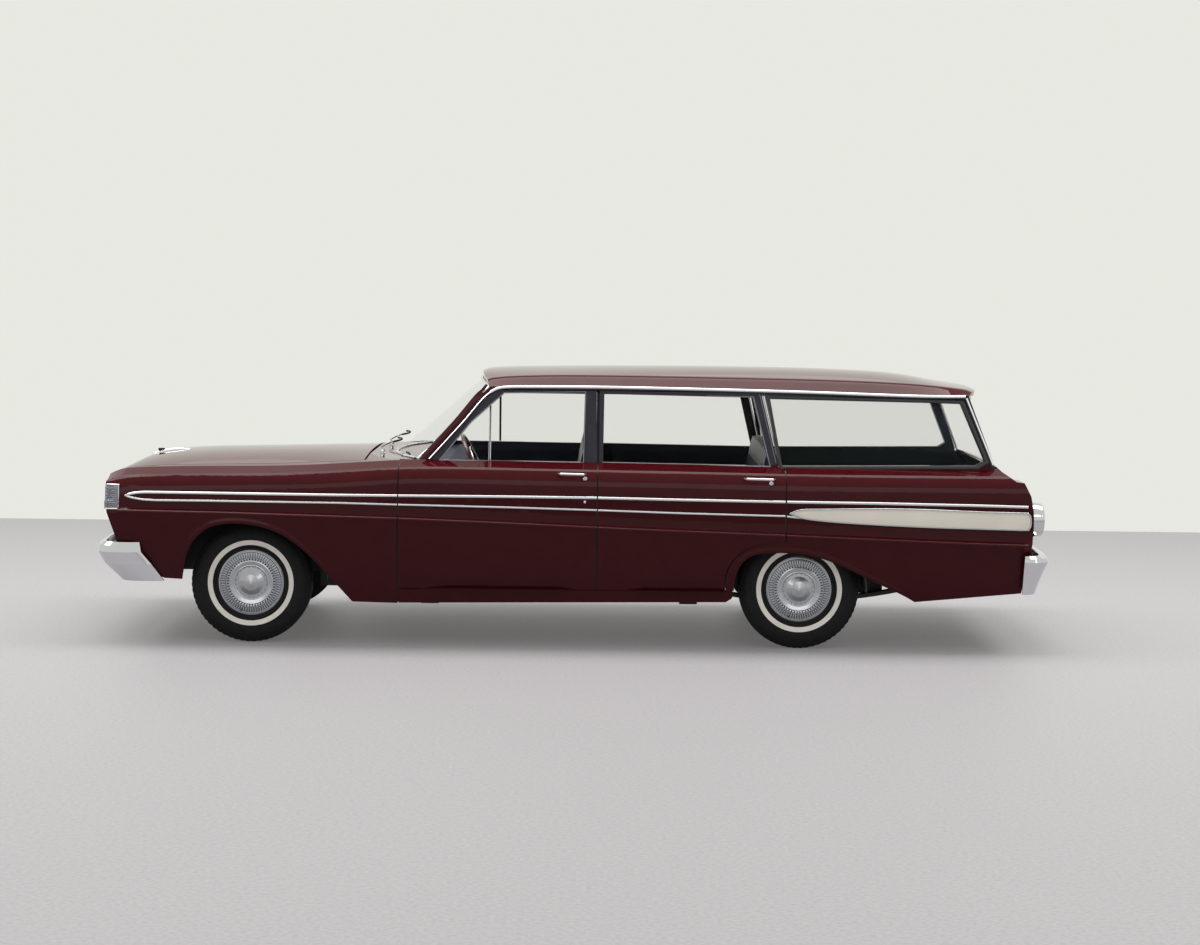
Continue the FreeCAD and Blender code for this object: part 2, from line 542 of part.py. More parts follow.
cowl = fused([cowl_half, mirrored(cowl_half)])

# Roof
roof_top = smooth([(FRONT_DOOR_X + 370, 1366.0), (FRONT_DOOR_X + 404, 1380.0), (FRONT_DOOR_X + 620, 1391.0),
                   (REAR_AXLE_X - 700, 1402.0), (REAR_AXLE_X, 1401.0), (REAR_AXLE_X + 366, 1391.0),
                   (REAR_AXLE_X + 578, 1376.0), (REAR_AXLE_X + 791, 1342.0), (REAR_AXLE_X + 975, 1316.0)])
roof_crease = smooth([(FRONT_DOOR_X + 404, 1346.0), (FRONT_DOOR_X + 560, 1362.0), (FRONT_DOOR_X + 920, 1371.0),
                      (REAR_AXLE_X - 100, 1364.0), (REAR_AXLE_X + 405, 1353.0), (REAR_AXLE_X + 690, 1338.0),
                      (REAR_AXLE_X + 975, 1308.0)])
ROOF_STEPS = 24
ROOF_FRONT_X = FRONT_DOOR_X + 370
ROOF_X = [ROOF_FRONT_X + (REAR_AXLE_X + 975 - ROOF_FRONT_X) * i / ROOF_STEPS for i in range(ROOF_STEPS + 1)]
ROOF_THICKNESS = 22.0
ROOF_SEAT = 0.8


def roof_wire(x):
    """Roof section at x: skin above and headlining below."""
    edge = frame_y(x, RAIL_TOP) + 4
    crown = roof_top(x)
    crease = max(min(roof_crease(x), crown - 6), rail_z(x) + 12)
    low = rail_z(x) - 14
    shoulder = crown - (crown - crease) * 0.25
    t = ROOF_THICKNESS
    skin = [V(x, -600, crease), V(x, -300, shoulder), V(x, 0, crown), V(x, 300, shoulder), V(x, 600, crease)]
    lining = [V(x, 570, crease - t), V(x, 285, shoulder - t), V(x, 0, crown - t), V(x, -285, shoulder - t),
              V(x, -570, crease - t)]
    quarters = (0.0, 0.25, 0.5, 0.75, 1.0)
    right, left = V(x, edge, low), V(x, -edge, low)
    right_in, left_in = V(x, edge - 40, low), V(x, -edge + 40, low)
    return Part.Wire([line(left, skin[0]), curve(skin, quarters), line(skin[-1], right), line(right, right_in),
                      line(right_in, lining[0]), curve(lining, quarters), line(lining[-1], left_in),
                      line(left_in, left)])


roof = Part.makeLoft([roof_wire(x) for x in ROOF_X], True, True)


def bow(centre_x, side_x, side_y, z0, z1, far_x):
    """Prism along Z behind or ahead of an arc drawn across the car."""
    a, b, c = V(side_x, -side_y, z0), V(centre_x, 0, z0), V(side_x, side_y, z0)
    edges = [Part.Arc(a, b, c).toShape(), line(c, V(far_x, side_y, z0)),
             line(V(far_x, side_y, z0), V(far_x, -side_y, z0)), line(V(far_x, -side_y, z0), a)]
    return Part.Face(Part.Wire(edges)).extrude(V(0, 0, z1 - z0))


SCREEN_TOP_X = FRONT_DOOR_X + 390.0
SCREEN_TOP_SIDE_X = FRONT_DOOR_X + 455.0
below_rail = beside_rail(ROOF_SEAT, 1200.0)
roof = roof.cut(below_rail).cut(mirrored(below_rail))
roof = roof.cut(bow(SCREEN_TOP_X, SCREEN_TOP_SIDE_X, 720.0, 1100.0, 1500.0, FRONT_DOOR_X))
roof = roof.cut(bow(REAR_AXLE_X + 960.0, REAR_AXLE_X + 855.0, 720.0, 1100.0, 1500.0, REAR_AXLE_X + 1400.0))


def bent_glass(low_z, high_z, low_centre, low_side, low_y, high_centre, high_side, high_y, rise):
    """Bent glass between a lower and an upper arc; rise lifts the upper centre."""
    def rim(centre_x, side_x, side_y, z, lift):
        slope = lift / (centre_x - side_x)
        outer = [V(side_x, -side_y, z), V(centre_x, 0, z + lift), V(side_x, side_y, z)]
        shift = V(GLASS_THICKNESS, 0, GLASS_THICKNESS * slope)
        inner = [p + shift for p in outer]
        return Part.Wire([Part.Arc(*outer).toShape(), line(outer[2], inner[2]),
                          Part.Arc(inner[2], inner[1], inner[0]).toShape(), line(inner[0], outer[0])])
    return Part.makeLoft([rim(low_centre, low_side, low_y, low_z, 0.0),
                          rim(high_centre, high_side, high_y, high_z, rise)], True, True)


windshield = bent_glass(BELT - 1 + SEAT_GAP, 1313.0, FRONT_DOOR_X - 64, FRONT_DOOR_X + 92, 656.0,
                        FRONT_DOOR_X + 390, FRONT_DOOR_X + 455, 590.0, 24.0)
windshield = windshield.cut(body_side).cut(mirrored(body_side))

# Tailgate and its glass
GATE_REAR_X = BODY_REAR_X + 13.0


def gate_wire(y, shift):
    outer = [(GATE_REAR_X - 9, TAILGATE_HINGE_Z + 7), (GATE_REAR_X, 640.0), (GATE_REAR_X - 3, 700.0),
             (GATE_REAR_X - 14, 765.0), (GATE_REAR_X - 34, 812.0), (GATE_REAR_X - 78, 866.0),
             (GATE_REAR_X - 152, BELT - 8)]
    inner = [(GATE_REAR_X - 196, BELT - 8), (GATE_REAR_X - 132, 860.0), (GATE_REAR_X - 72, 790.0),
             (GATE_REAR_X - 52, 700.0), (GATE_REAR_X - 54, TAILGATE_HINGE_Z + 7)]
    points = [V(x - shift, y, z) for x, z in outer + inner]
    return Part.makePolygon(points + points[:1])


tailgate = Part.makeLoft([gate_wire(-TAILGATE_HALF_WIDTH, 26.0), gate_wire(0, 0.0),
                          gate_wire(TAILGATE_HALF_WIDTH, 26.0)], True, False)
PLATE_HOLE_Y = 89.0
PLATE_HOLE_Z = (624.0, 745.0)
PLATE_PAD_X = GATE_REAR_X - 3.0
plate_pad = box(PLATE_PAD_X - 40, PLATE_PAD_X, -160, 160, 606, 762)
tailgate = tailgate.cut(box(PLATE_PAD_X, GATE_REAR_X + 20, -162, 162, 604, 764))
tailgate = fused([tailgate, plate_pad])
for y in (-PLATE_HOLE_Y, PLATE_HOLE_Y):
    for z in PLATE_HOLE_Z:
        tailgate = tailgate.cut(rod(V(PLATE_PAD_X - 14, y, z), V(GATE_REAR_X + 20, y, z), 3.0))
tailgate_glass = bent_glass(BELT - 8 + SEAT_GAP, 1258.0, GATE_REAR_X - 178, GATE_REAR_X - 206, 604.0,
                            REAR_AXLE_X + 938, REAR_AXLE_X + 858, 566.0, 6.0)

rear_panel = across_polygon([(BODY_REAR_X - 10, 553.0), (BODY_REAR_X - 29, 480.0), (BODY_REAR_X - 53, 330.0),
                             (BODY_REAR_X - 80, 330.0), (BODY_REAR_X - 58, 484.0), (BODY_REAR_X - 82, 545.0),
                             (BODY_REAR_X - 82, 553.0)],
                            -TAILGATE_HALF_WIDTH - 6 + SEAT_GAP, TAILGATE_HALF_WIDTH + 6 - SEAT_GAP)

# Nose: grille surround and valance
GRILLE_LOW = 655.0
GRILLE_HIGH = 816.0
GRILLE_HALF_WIDTH = 778.0
valance = across_polygon([(BODY_FRONT_X + 16, GRILLE_LOW), (BODY_FRONT_X + 66, 522.0), (BODY_FRONT_X + 78, 380.0),
                          (BODY_FRONT_X + 100, 380.0), (BODY_FRONT_X + 92, 524.0), (BODY_FRONT_X + 120, GRILLE_LOW - 12),
                          (BODY_FRONT_X + 120, GRILLE_LOW)], -GRILLE_HALF_WIDTH, GRILLE_HALF_WIDTH)
header = box(BODY_FRONT_X + 14, BODY_FRONT_X + 30, -GRILLE_HALF_WIDTH + 8, GRILLE_HALF_WIDTH - 8,
             GRILLE_HIGH - 9, GRILLE_HIGH)
nose_sides = box(BODY_FRONT_X + 20, BODY_FRONT_X + 118, -GRILLE_HALF_WIDTH, -GRILLE_HALF_WIDTH + 10,
                 GRILLE_LOW - 5, GRILLE_HIGH)
nose_panel = fused([valance, header, nose_sides, mirrored(nose_sides)])

# Grille of level blades on upright posts
BLADES = 9
BLADE_PITCH = (GRILLE_HIGH - GRILLE_LOW - 12) / BLADES
GRILLE_REACH = 404.0
grille_pieces = []
for i in range(BLADES):
    z = GRILLE_LOW + 6 + BLADE_PITCH * (i + 0.5)
    grille_pieces.append(across_polygon([(BODY_FRONT_X + 60, z), (BODY_FRONT_X + 84, z - 4), (BODY_FRONT_X + 84, z + 4)],
                                        -GRILLE_REACH, GRILLE_REACH))
for y in (-400, -200, 0, 200, 400):
    grille_pieces.append(box(BODY_FRONT_X + 72, BODY_FRONT_X + 90, y - 4, y + 4, GRILLE_LOW + SEAT_GAP, GRILLE_HIGH - 9))
grille = fused(grille_pieces)

# Headlamps and corner lamps
LAMP_Z = 736.0
LAMP_Y = (687.0, 517.0)
LENS_RADIUS = 68.0
lamps = []
for y in LAMP_Y:
    profile = [(0, -38), (30, -36), (LENS_RADIUS - 16, -26), (LENS_RADIUS, -14), (LENS_RADIUS + 7, -18),
               (LENS_RADIUS + 11, -8), (LENS_RADIUS + 9, 16), (40, 46), (0, 46)]
    wire = Part.makePolygon([V(depth, 0, r) for r, depth in profile] + [V(profile[0][1], 0, profile[0][0])])
    lamp = Part.Face(wire).revolve(V(0, 0, 0), V(1, 0, 0), 360)
    lamp.translate(V(BODY_FRONT_X + 70, -y, LAMP_Z))
    lamps.append(lamp)
lamp_bar = box(BODY_FRONT_X + 96, BODY_FRONT_X + 104, -GRILLE_HALF_WIDTH + 10 + SEAT_GAP, -425.0, LAMP_Z - 50, LAMP_Z + 50)
corner_pocket = box(BODY_FRONT_X, BODY_FRONT_X + 78, -FAR_SIDE, -GRILLE_HALF_WIDTH - 4, 680.0, 802.0)
corner_lamp = HULL.common(box(BODY_FRONT_X + 4, BODY_FRONT_X + 78 - SEAT_GAP, -FAR_SIDE, -GRILLE_HALF_WIDTH - 4,
                              680.0 + SEAT_GAP, 802.0 - SEAT_GAP))
fender = fender.cut(corner_pocket)
front_lamps = Part.makeCompound([fused(lamps + [lamp_bar]), corner_lamp])
front_lamps = both(front_lamps)

# Bumpers: one rolled bar each, wrapped round the corners
BUMPER_TIP_Z = 466.0


def bumper_wire(tip, end, inward, corner_y, z, thickness):
    """Outline of a bumper at height z, for the front; inward draws it in."""
    def path(t):
        x0 = tip + inward + t
        side = corner_y - inward * 0.32
        x0 -= t
        return [V(x0 + t, 0, z), V(x0 + 8 + t, 400, z), V(x0 + 26 + 0.95 * t, side - 95 - 0.3 * t, z),
                V(x0 + 50 + 0.75 * t, side - 24 - 0.7 * t, z), V(x0 + 88, side - t, z), V(end, side + 1 - t, z)]
    outer = path(0.0)
    inner = path(thickness)
    left = [V(p.x, -p.y, p.z) for p in outer[::-1]]
    left_in = [V(p.x, -p.y, p.z) for p in inner[::-1]]
    return Part.Wire([curve(left + outer[1:]), line(outer[-1], inner[-1]),
                      curve(inner[::-1] + left_in[::-1][1:]), line(left_in[0], left[0])])


def bumper(tip, levels):
    wires = [bumper_wire(tip, tip + reach, inward, 884.0, z, 14.0) for z, inward, reach in levels]
    return Part.makeLoft(wires, True, True)


# Height, set-back from the tip, and reach of the wrapped end
FRONT_BUMPER = [(516.0, 30.0, 252.0), (500.0, 8.0, 256.0), (BUMPER_TIP_Z, 0.0, 262.0),
                (405.0, 34.0, 312.0), (318.0, 118.0, 372.0)]
REAR_BUMPER = [(497.0, 36.0, 160.0), (486.0, 10.0, 162.0), (BUMPER_TIP_Z, 0.0, 164.0),
               (410.0, 26.0, 166.0), (350.0, 49.0, 168.0), (300.0, 64.0, 170.0)]
front_bumper = bumper(FRONT_X, FRONT_BUMPER)
bumper_arm = box(FRONT_X + 40, BODY_FRONT_X + 130, 372, 420, 420, 470)
arm_holes = [box(-LENGTH, LENGTH, y - 24 - SEAT_GAP, y + 24 + SEAT_GAP, 420 - SEAT_GAP, 470 + SEAT_GAP)
             for y in (-396, 396)]
nose_panel = nose_panel.cut(arm_holes)
front_bumper = fused([front_bumper, bumper_arm, mirrored(bumper_arm)])
rear_bumper = bumper(FRONT_X, REAR_BUMPER).mirror(V(0, 0, 0), V(1, 0, 0))
rear_arm = box(BODY_REAR_X - 120, REAR_X - 40, 372, 420, 420, 470)
rear_panel = rear_panel.cut(arm_holes)
GATE_AXIS = V(BODY_REAR_X + 4, 0, TAILGATE_HINGE_Z)
gate_barrels = []
panel_barrels = []
for y in (-500, 470):
    gate_barrels.append(rod(GATE_AXIS + V(0, y, 0), GATE_AXIS + V(0, y + 30, 0), 5.0))
    gate_barrels.append(box(GATE_AXIS.x - 4, GATE_AXIS.x + 4, y, y + 30, TAILGATE_HINGE_Z, TAILGATE_HINGE_Z + 14))
    for y0 in (y - 30 - SEAT_GAP, y + 30 + SEAT_GAP):
        panel_barrels.append(rod(GATE_AXIS + V(0, y0, 0), GATE_AXIS + V(0, y0 + 30, 0), 5.0))
        panel_barrels.append(box(GATE_AXIS.x - 20, GATE_AXIS.x, y0, y0 + 30, 542.0, TAILGATE_HINGE_Z - 2))
tailgate = fused([tailgate] + gate_barrels)
rear_panel = fused([rear_panel] + panel_barrels)
rear_bumper = fused([rear_bumper, rear_arm, mirrored(rear_arm)])

# Round tail lamps
profile = [(0, 45), (30, 43), (52, 35), (62, 26), (66, 46), (75, 55), (84, 45), (88, 0), (0, 0)]
wire = Part.makePolygon([V(x, 0, r) for r, x in profile + profile[:1]])
tail_lamp = Part.Face(wire).revolve(V(0, 0, 0), V(1, 0, 0), 360)
tail_lamp.translate(V(BODY_REAR_X - 2.5, -748.0, 672.0))
tail_lamps = both(tail_lamp)

# Floor, tunnel, rails and wheelhouses
floor_line = [(FRONT_DOOR_X - 4 + SEAT_GAP + FLOOR_THICKNESS, 500.0), (FRONT_DOOR_X + 125, FLOOR_TOP), (DOOR_SPLIT_X + 383, FLOOR_TOP),
              (DOOR_SPLIT_X + 423, 470.0), (REAR_AXLE_X - 185, 480.0), (REAR_AXLE_X - 125, CARGO_FLOOR),
              (BODY_REAR_X - 83, CARGO_FLOOR)]
floor = across_polygon(strip(floor_line, FLOOR_THICKNESS), -758, 0)


def tunnel_wire(x, half, top):
    points = [V(x, -half - 26, FLOOR_TOP - FLOOR_THICKNESS), V(x, -half, top - 40), V(x, -half + 40, top),
              V(x, 0, top), V(x, 0, FLOOR_TOP - FLOOR_THICKNESS - 20), V(x, -half - 26, FLOOR_TOP - FLOOR_THICKNESS - 20)]
    return Part.makePolygon(points + points[:1])


def tunnel(shrink):
    x0, x1, x2 = FRONT_DOOR_X - 2, FRONT_DOOR_X + 480, DOOR_SPLIT_X + 430
    return Part.makeLoft([tunnel_wire(x0, 176 - shrink, 596 - shrink), tunnel_wire(x1, 112 - shrink, 470 - shrink),
                          tunnel_wire(x2, 100 - shrink, 412 - shrink)], True, True)


tunnel_skin = tunnel(0.0).cut(tunnel(FLOOR_THICKNESS))
floor = floor.cut(tunnel(FLOOR_THICKNESS))
front_rail = box(BODY_FRONT_X + 104, FRONT_DOOR_X + 60, -434, -372, 330, 420)
toe_rail = across_polygon([(FRONT_DOOR_X + 60, 420), (FRONT_DOOR_X + 60, 330), (FRONT_DOOR_X + 170, FLOOR_TOP - 60),
                           (DOOR_SPLIT_X + 300, FLOOR_TOP - 60), (DOOR_SPLIT_X + 300, FLOOR_TOP - 6),
                           (FRONT_DOOR_X + 180, FLOOR_TOP - 6)], -434, -372)
WHEELHOUSE_FRONT_X = FRONT_AXLE_X - 400
APRON_REACH = 812.0
WHEELHOUSE_REAR_X = FRONT_AXLE_X + 395
apron = along([(-434, 330), (-440, 330), (-440, 634), (-APRON_REACH, 634), (-APRON_REACH, 640), (-434, 640)],
              WHEELHOUSE_FRONT_X, WHEELHOUSE_REAR_X)
apron_walls = [box(x, x + 6, -APRON_REACH, -434, 330, 640) for x in (WHEELHOUSE_FRONT_X, WHEELHOUSE_REAR_X - 6)]
apron_side = box(WHEELHOUSE_FRONT_X, WHEELHOUSE_REAR_X, -FENDER_EDGE_Y - 5, -FENDER_EDGE_Y + 1, 636, 834)
tower = Part.makeCylinder(96.0, 150.0, V(FRONT_AXLE_X, -530, 638))
support = box(BODY_FRONT_X + 190, BODY_FRONT_X + 200, -720, 0, 330, 800)
support = support.cut(box(BODY_FRONT_X + 150, BODY_FRONT_X + 240, -330, 1, 400, 760))
link_front = box(BODY_FRONT_X + 196, WHEELHOUSE_FRONT_X + 3, -440, -434, 330, 640)
link_rear = box(WHEELHOUSE_REAR_X - 3, FRONT_DOOR_X - 10 - SEAT_GAP, -440, -434, 330, 640)
house_outer = rod(REAR_HUB + V(0, -836, 0), REAR_HUB + V(0, -604, 0), WHEELHOUSE_RADIUS - SEAT_GAP)
house_inner = rod(REAR_HUB + V(0, -900, 0), REAR_HUB + V(0, -610, 0), WHEELHOUSE_RADIUS - 8)
wheelhouse = house_outer.cut(house_inner)
wheelhouse = wheelhouse.common(box(REAR_AXLE_X - 500, REAR_AXLE_X + 500, -FAR_SIDE, -500, 300, 800))
floor = floor.cut(rod(REAR_HUB + V(0, -900, 0), REAR_HUB + V(0, -606, 0), WHEELHOUSE_RADIUS - 4))
floor = floor.cut(box(FRONT_DOOR_X - 50, FRONT_HINGE_X, -800, -738, 300, 600))
floor = floor.cut(box(BODY_REAR_X - 152, BODY_REAR_X, -900, -TAILGATE_HALF_WIDTH - 5, 400, 700))
rear_rail = box(REAR_AXLE_X - 150, BODY_REAR_X - 84, -560, -500, CARGO_FLOOR - 80, CARGO_FLOOR - 4)
wheelhouse = wheelhouse.cut(box(REAR_AXLE_X - 70, REAR_AXLE_X + 70, -640, -580, 290, 420))
floor_half = fused([floor, tunnel_skin, front_rail, toe_rail, apron, apron_side, tower, support, link_front,
                    link_rear, wheelhouse, rear_rail] + apron_walls)
floor_pan = fused([floor_half, mirrored(floor_half)])

# Engine with its gearbox, and the radiator
engine_block = box(FRONT_AXLE_X - 265, FRONT_AXLE_X + 505, -190, 190, 330, 800)
GEARBOX_Z = 392.0
GEARBOX_REAR_X = FRONT_AXLE_X + 1155
bell = Part.makeCone(138, 86, 330, V(FRONT_AXLE_X + 505, 0, GEARBOX_Z), V(1, 0, 0))
gearbox = Part.makeCylinder(62, GEARBOX_REAR_X - FRONT_AXLE_X - 700, V(FRONT_AXLE_X + 700, 0, GEARBOX_Z), V(1, 0, 0))
engine = fused([engine_block, bell, gearbox])
radiator = box(BODY_FRONT_X + 200 + SEAT_GAP, BODY_FRONT_X + 262, -340, 340, 380, 780)

# Front suspension: crossmember, arms and towers' links
arm_tip_y = KINGPIN_Y - 20
crossmember = box(FRONT_AXLE_X - 50, FRONT_AXLE_X + 50, -434, 434, 232, 329.7)
lower_arm = upward([(FRONT_AXLE_X - 26, -300), (FRONT_AXLE_X - 18, -arm_tip_y), (FRONT_AXLE_X + 18, -arm_tip_y),
                    (FRONT_AXLE_X + 26, -300)], 214, 233)
lower_pad = Part.makeCylinder(16.5, 19.0, V(FRONT_AXLE_X, -KINGPIN_Y, 214))
strut = rod(V(FRONT_AXLE_X - 12, -560, 223), V(FRONT_AXLE_X - 330, -403, 318), 11)
upper_arm = upward([(FRONT_AXLE_X - 120, -442), (FRONT_AXLE_X - 90, -442), (FRONT_AXLE_X, -KINGPIN_Y + 40),
                    (FRONT_AXLE_X + 90, -442), (FRONT_AXLE_X + 120, -442), (FRONT_AXLE_X + 18, -KINGPIN_Y + 2),
                    (FRONT_AXLE_X - 18, -KINGPIN_Y + 2)], 402, 418)
upper_pad = Part.makeCylinder(16.5, 16.0, V(FRONT_AXLE_X, -KINGPIN_Y, 402))
upper_pivot = rod(V(FRONT_AXLE_X - 130, -452, 410), V(FRONT_AXLE_X + 130, -452, 410), 11.5)
suspension_half = [lower_arm, lower_pad, strut]
upper_half = fused([upper_arm, upper_pad, upper_pivot])
front_suspension = Part.makeCompound([fused([crossmember] + suspension_half + [mirrored(s) for s in suspension_half]),
                                      upper_half, mirrored(upper_half)])

# Knuckles: upright on the kingpin line, backing plate and spindle
PLATE_Y = KINGPIN_Y + 18
upright = Part.makeCylinder(20.0, 402 - 233 - 2 * SEAT_GAP, V(FRONT_AXLE_X, -KINGPIN_Y, 233 + SEAT_GAP))
carrier = rod(V(FRONT_AXLE_X, -KINGPIN_Y + 22, WHEEL_HEIGHT), V(FRONT_AXLE_X, -PLATE_Y, WHEEL_HEIGHT), 34)
backing = rod(V(FRONT_AXLE_X, -PLATE_Y, WHEEL_HEIGHT), V(FRONT_AXLE_X, -PLATE_Y - 4, WHEEL_HEIGHT), 114)
spindle = rod(V(FRONT_AXLE_X, -PLATE_Y, WHEEL_HEIGHT), V(FRONT_AXLE_X, -FRONT_WHEEL_Y - 40, WHEEL_HEIGHT), SPINDLE_RADIUS)
steering_arm = across_polygon([(FRONT_AXLE_X + 8, 262), (FRONT_AXLE_X + 110, 262), (FRONT_AXLE_X + 110, 280),
                               (FRONT_AXLE_X + 8, 280)], -KINGPIN_Y + 4, -KINGPIN_Y + 20)
knuckle = fused([upright, carrier, backing, spindle, steering_arm])

# Rear axle with leaf springs and propeller shaft
PERCH_Y = 540.0
axle_tube = rod(V(REAR_AXLE_X, -REAR_WHEEL_Y + 44, WHEEL_HEIGHT), V(REAR_AXLE_X, REAR_WHEEL_Y - 44, WHEEL_HEIGHT), 38)
differential = Part.makeSphere(128.0, V(REAR_AXLE_X, 0, WHEEL_HEIGHT))
diff_nose = Part.makeCone(60, 96, 180, V(REAR_AXLE_X - 240, 0, WHEEL_HEIGHT), V(1, 0, 0))
rear_hub = rod(V(REAR_AXLE_X, -REAR_WHEEL_Y + 44, WHEEL_HEIGHT), V(REAR_AXLE_X, -REAR_WHEEL_Y - 40, WHEEL_HEIGHT), SPINDLE_RADIUS)
spring_line = [(REAR_AXLE_X - 560, 300.0), (REAR_AXLE_X - 300, 252.0), (REAR_AXLE_X, 234.0),
               (REAR_AXLE_X + 350, 258.0), (REAR_AXLE_X + 690, 330.0)]
spring_low = [(x, z - 20) for x, z in spring_line]
spring = across([spring_line, [spring_line[-1], spring_low[-1]], spring_low[::-1], [spring_low[0], spring_line[0]]],
                -PERCH_Y - 28, -PERCH_Y + 28)
clamp = box(REAR_AXLE_X - 60, REAR_AXLE_X + 60, -PERCH_Y - 34, -PERCH_Y + 34, 210, 290)
shackle = box(REAR_AXLE_X + 668, REAR_AXLE_X + 692, -PERCH_Y - 20, -PERCH_Y + 20, 320, CARGO_FLOOR - 80 - SEAT_GAP)
hanger = box(REAR_AXLE_X - 560, REAR_AXLE_X - 530, -PERCH_Y - 28, -PERCH_Y + 28, 285, 462 - SEAT_GAP - 0.6)
axle_parts = [rear_hub, spring, clamp, shackle, hanger]
shaft = rod(V(GEARBOX_REAR_X + 3, 0, GEARBOX_Z), V(REAR_AXLE_X - 236, 0, WHEEL_HEIGHT), 34)
rear_axle = fused([axle_tube, differential, diff_nose, shaft] + axle_parts + [mirrored(s) for s in axle_parts])

# Exhaust and fuel tank
EXHAUST_Y = 300.0
exhaust_path = [V(FRONT_AXLE_X + 420, 213, 350), V(FRONT_DOOR_X - 60, EXHAUST_Y, 216), V(DOOR_SPLIT_X + 100, EXHAUST_Y, 212),
                V(REAR_AXLE_X - 360, EXHAUST_Y, 236), V(REAR_AXLE_X - 180, EXHAUST_Y, 400), V(REAR_AXLE_X + 160, EXHAUST_Y + 60, 400),
                V(REAR_AXLE_X + 330, EXHAUST_Y + 110, 300), V(BODY_REAR_X - 20, EXHAUST_Y + 130, 268)]
exhaust_pieces = []
for a, b in zip(exhaust_path, exhaust_path[1:]):
    exhaust_pieces.append(rod(a, b, 22.0))
    exhaust_pieces.append(Part.makeSphere(22.0, b))
exhaust_pieces.append(rod(V(DOOR_SPLIT_X + 20, EXHAUST_Y, 203.7), V(DOOR_SPLIT_X + 480, EXHAUST_Y, 203.7), 50))
exhaust = fused(exhaust_pieces[:-2] + [exhaust_pieces[-1]])
fuel_tank = box(REAR_AXLE_X + 400, BODY_REAR_X - 190, -380, 360, 350, CARGO_FLOOR - FLOOR_THICKNESS - SEAT_GAP)
fuel_tank = fuel_tank.makeFillet(30.0, [e for e in fuel_tank.Edges if abs(e.CenterOfMass.z - 350) < 1])

# Dashboard and steering
dash_profile = [(FRONT_DOOR_X + 60, 902.0), (FRONT_DOOR_X + 236, 926.0), (FRONT_DOOR_X + 308, 902.0),
                (FRONT_DOOR_X + 322, 850.0), (FRONT_DOOR_X + 308, 760.0), (FRONT_DOOR_X + 262, 700.0),
                (FRONT_DOOR_X + 120, 690.0), (FRONT_DOOR_X + 60, 760.0)]
DASH_HALF_WIDTH = 650.0
dash = across_polygon(dash_profile, -DASH_HALF_WIDTH, DASH_HALF_WIDTH)
WHEEL_CENTRE = V(FRONT_DOOR_X + 381, -380, 863)
STEER_TILT = math.radians(25.0)
STEER_AXIS = V(math.cos(STEER_TILT), 0, math.sin(STEER_TILT))
column = rod(WHEEL_CENTRE - STEER_AXIS * (40 + SEAT_GAP), WHEEL_CENTRE - STEER_AXIS * 360, 24)
dash_feet = box(FRONT_DOOR_X - 4 + SEAT_GAP, FRONT_DOOR_X + 70, -DASH_HALF_WIDTH, DASH_HALF_WIDTH, 860, 896)
dashboard = fused([dash, column, dash_feet])

STEER_RADIUS = 205.0
grip = [V(STEER_RADIUS - 11 + 11.0 * math.cos(math.radians(a)), 0, 11.0 * math.sin(math.radians(a)))
        for a in range(18, 360, 36)]
rim = Part.Face(Part.makePolygon(grip + grip[:1])).revolve(V(0, 0, 0), V(0, 0, 1), 360)
hub = Part.makeCylinder(34.0, 45.0, V(0, 0, -40))
spoke_pieces = []
for angle in (90, 210, 330):
    spoke = box(20, STEER_RADIUS - 8, -14, 14, -14, -6)
    spoke.rotate(V(0, 0, 0), V(0, 0, 1), angle)
    spoke_pieces.append(spoke)
steering_wheel = fused([rim, hub] + spoke_pieces)
steering_wheel.rotate(V(0, 0, 0), V(0, 1, 0), 90 - 25.0)
steering_wheel.translate(WHEEL_CENTRE)

# Seats
SEAT_HALF_WIDTH = 590.0
front_cushion = across_polygon([(DOOR_SPLIT_X - 560, 400), (DOOR_SPLIT_X - 572, 470), (DOOR_SPLIT_X - 530, 520),
                                (DOOR_SPLIT_X - 330, 528), (DOOR_SPLIT_X - 60, 490), (DOOR_SPLIT_X - 60, 380)],
                               -SEAT_HALF_WIDTH, SEAT_HALF_WIDTH)
front_back = across_polygon([(DOOR_SPLIT_X - 170, 440), (DOOR_SPLIT_X - 88, 990), (DOOR_SPLIT_X - 66, 1010),
                             (DOOR_SPLIT_X - 22, 1000), (DOOR_SPLIT_X - 10, 440)],
                            -SEAT_HALF_WIDTH, SEAT_HALF_WIDTH)
front_base = [box(DOOR_SPLIT_X - 500, DOOR_SPLIT_X - 80, y - 20, y + 20, FLOOR_TOP + SEAT_GAP, 410) for y in (-500, -220, 220, 500)]
front_cushion = front_cushion.cut(box(DOOR_SPLIT_X - 600, DOOR_SPLIT_X, -150, 150, 300, 486))
front_back = front_back.cut(box(DOOR_SPLIT_X - 600, DOOR_SPLIT_X, -150, 150, 300, 486))
front_seat = fused([front_cushion, front_back] + front_base)
rear_cushion = across_polygon([(REAR_AXLE_X - 625, 480 + SEAT_GAP), (REAR_AXLE_X - 632, 560), (REAR_AXLE_X - 590, 602),
                               (REAR_AXLE_X - 220, 572), (REAR_AXLE_X - 200, 480 + SEAT_GAP)],
                              -SEAT_HALF_WIDTH, SEAT_HALF_WIDTH)
rear_back = across_polygon([(REAR_AXLE_X - 262, 540), (REAR_AXLE_X - 172, 990), (REAR_AXLE_X - 150, 1004),
                            (REAR_AXLE_X - 106, 1000), (REAR_AXLE_X - 112, CARGO_FLOOR + 2),
                            (REAR_AXLE_X - 200, CARGO_FLOOR + 2)], -SEAT_HALF_WIDTH, SEAT_HALF_WIDTH)
rear_seat = fused([rear_cushion, rear_back])

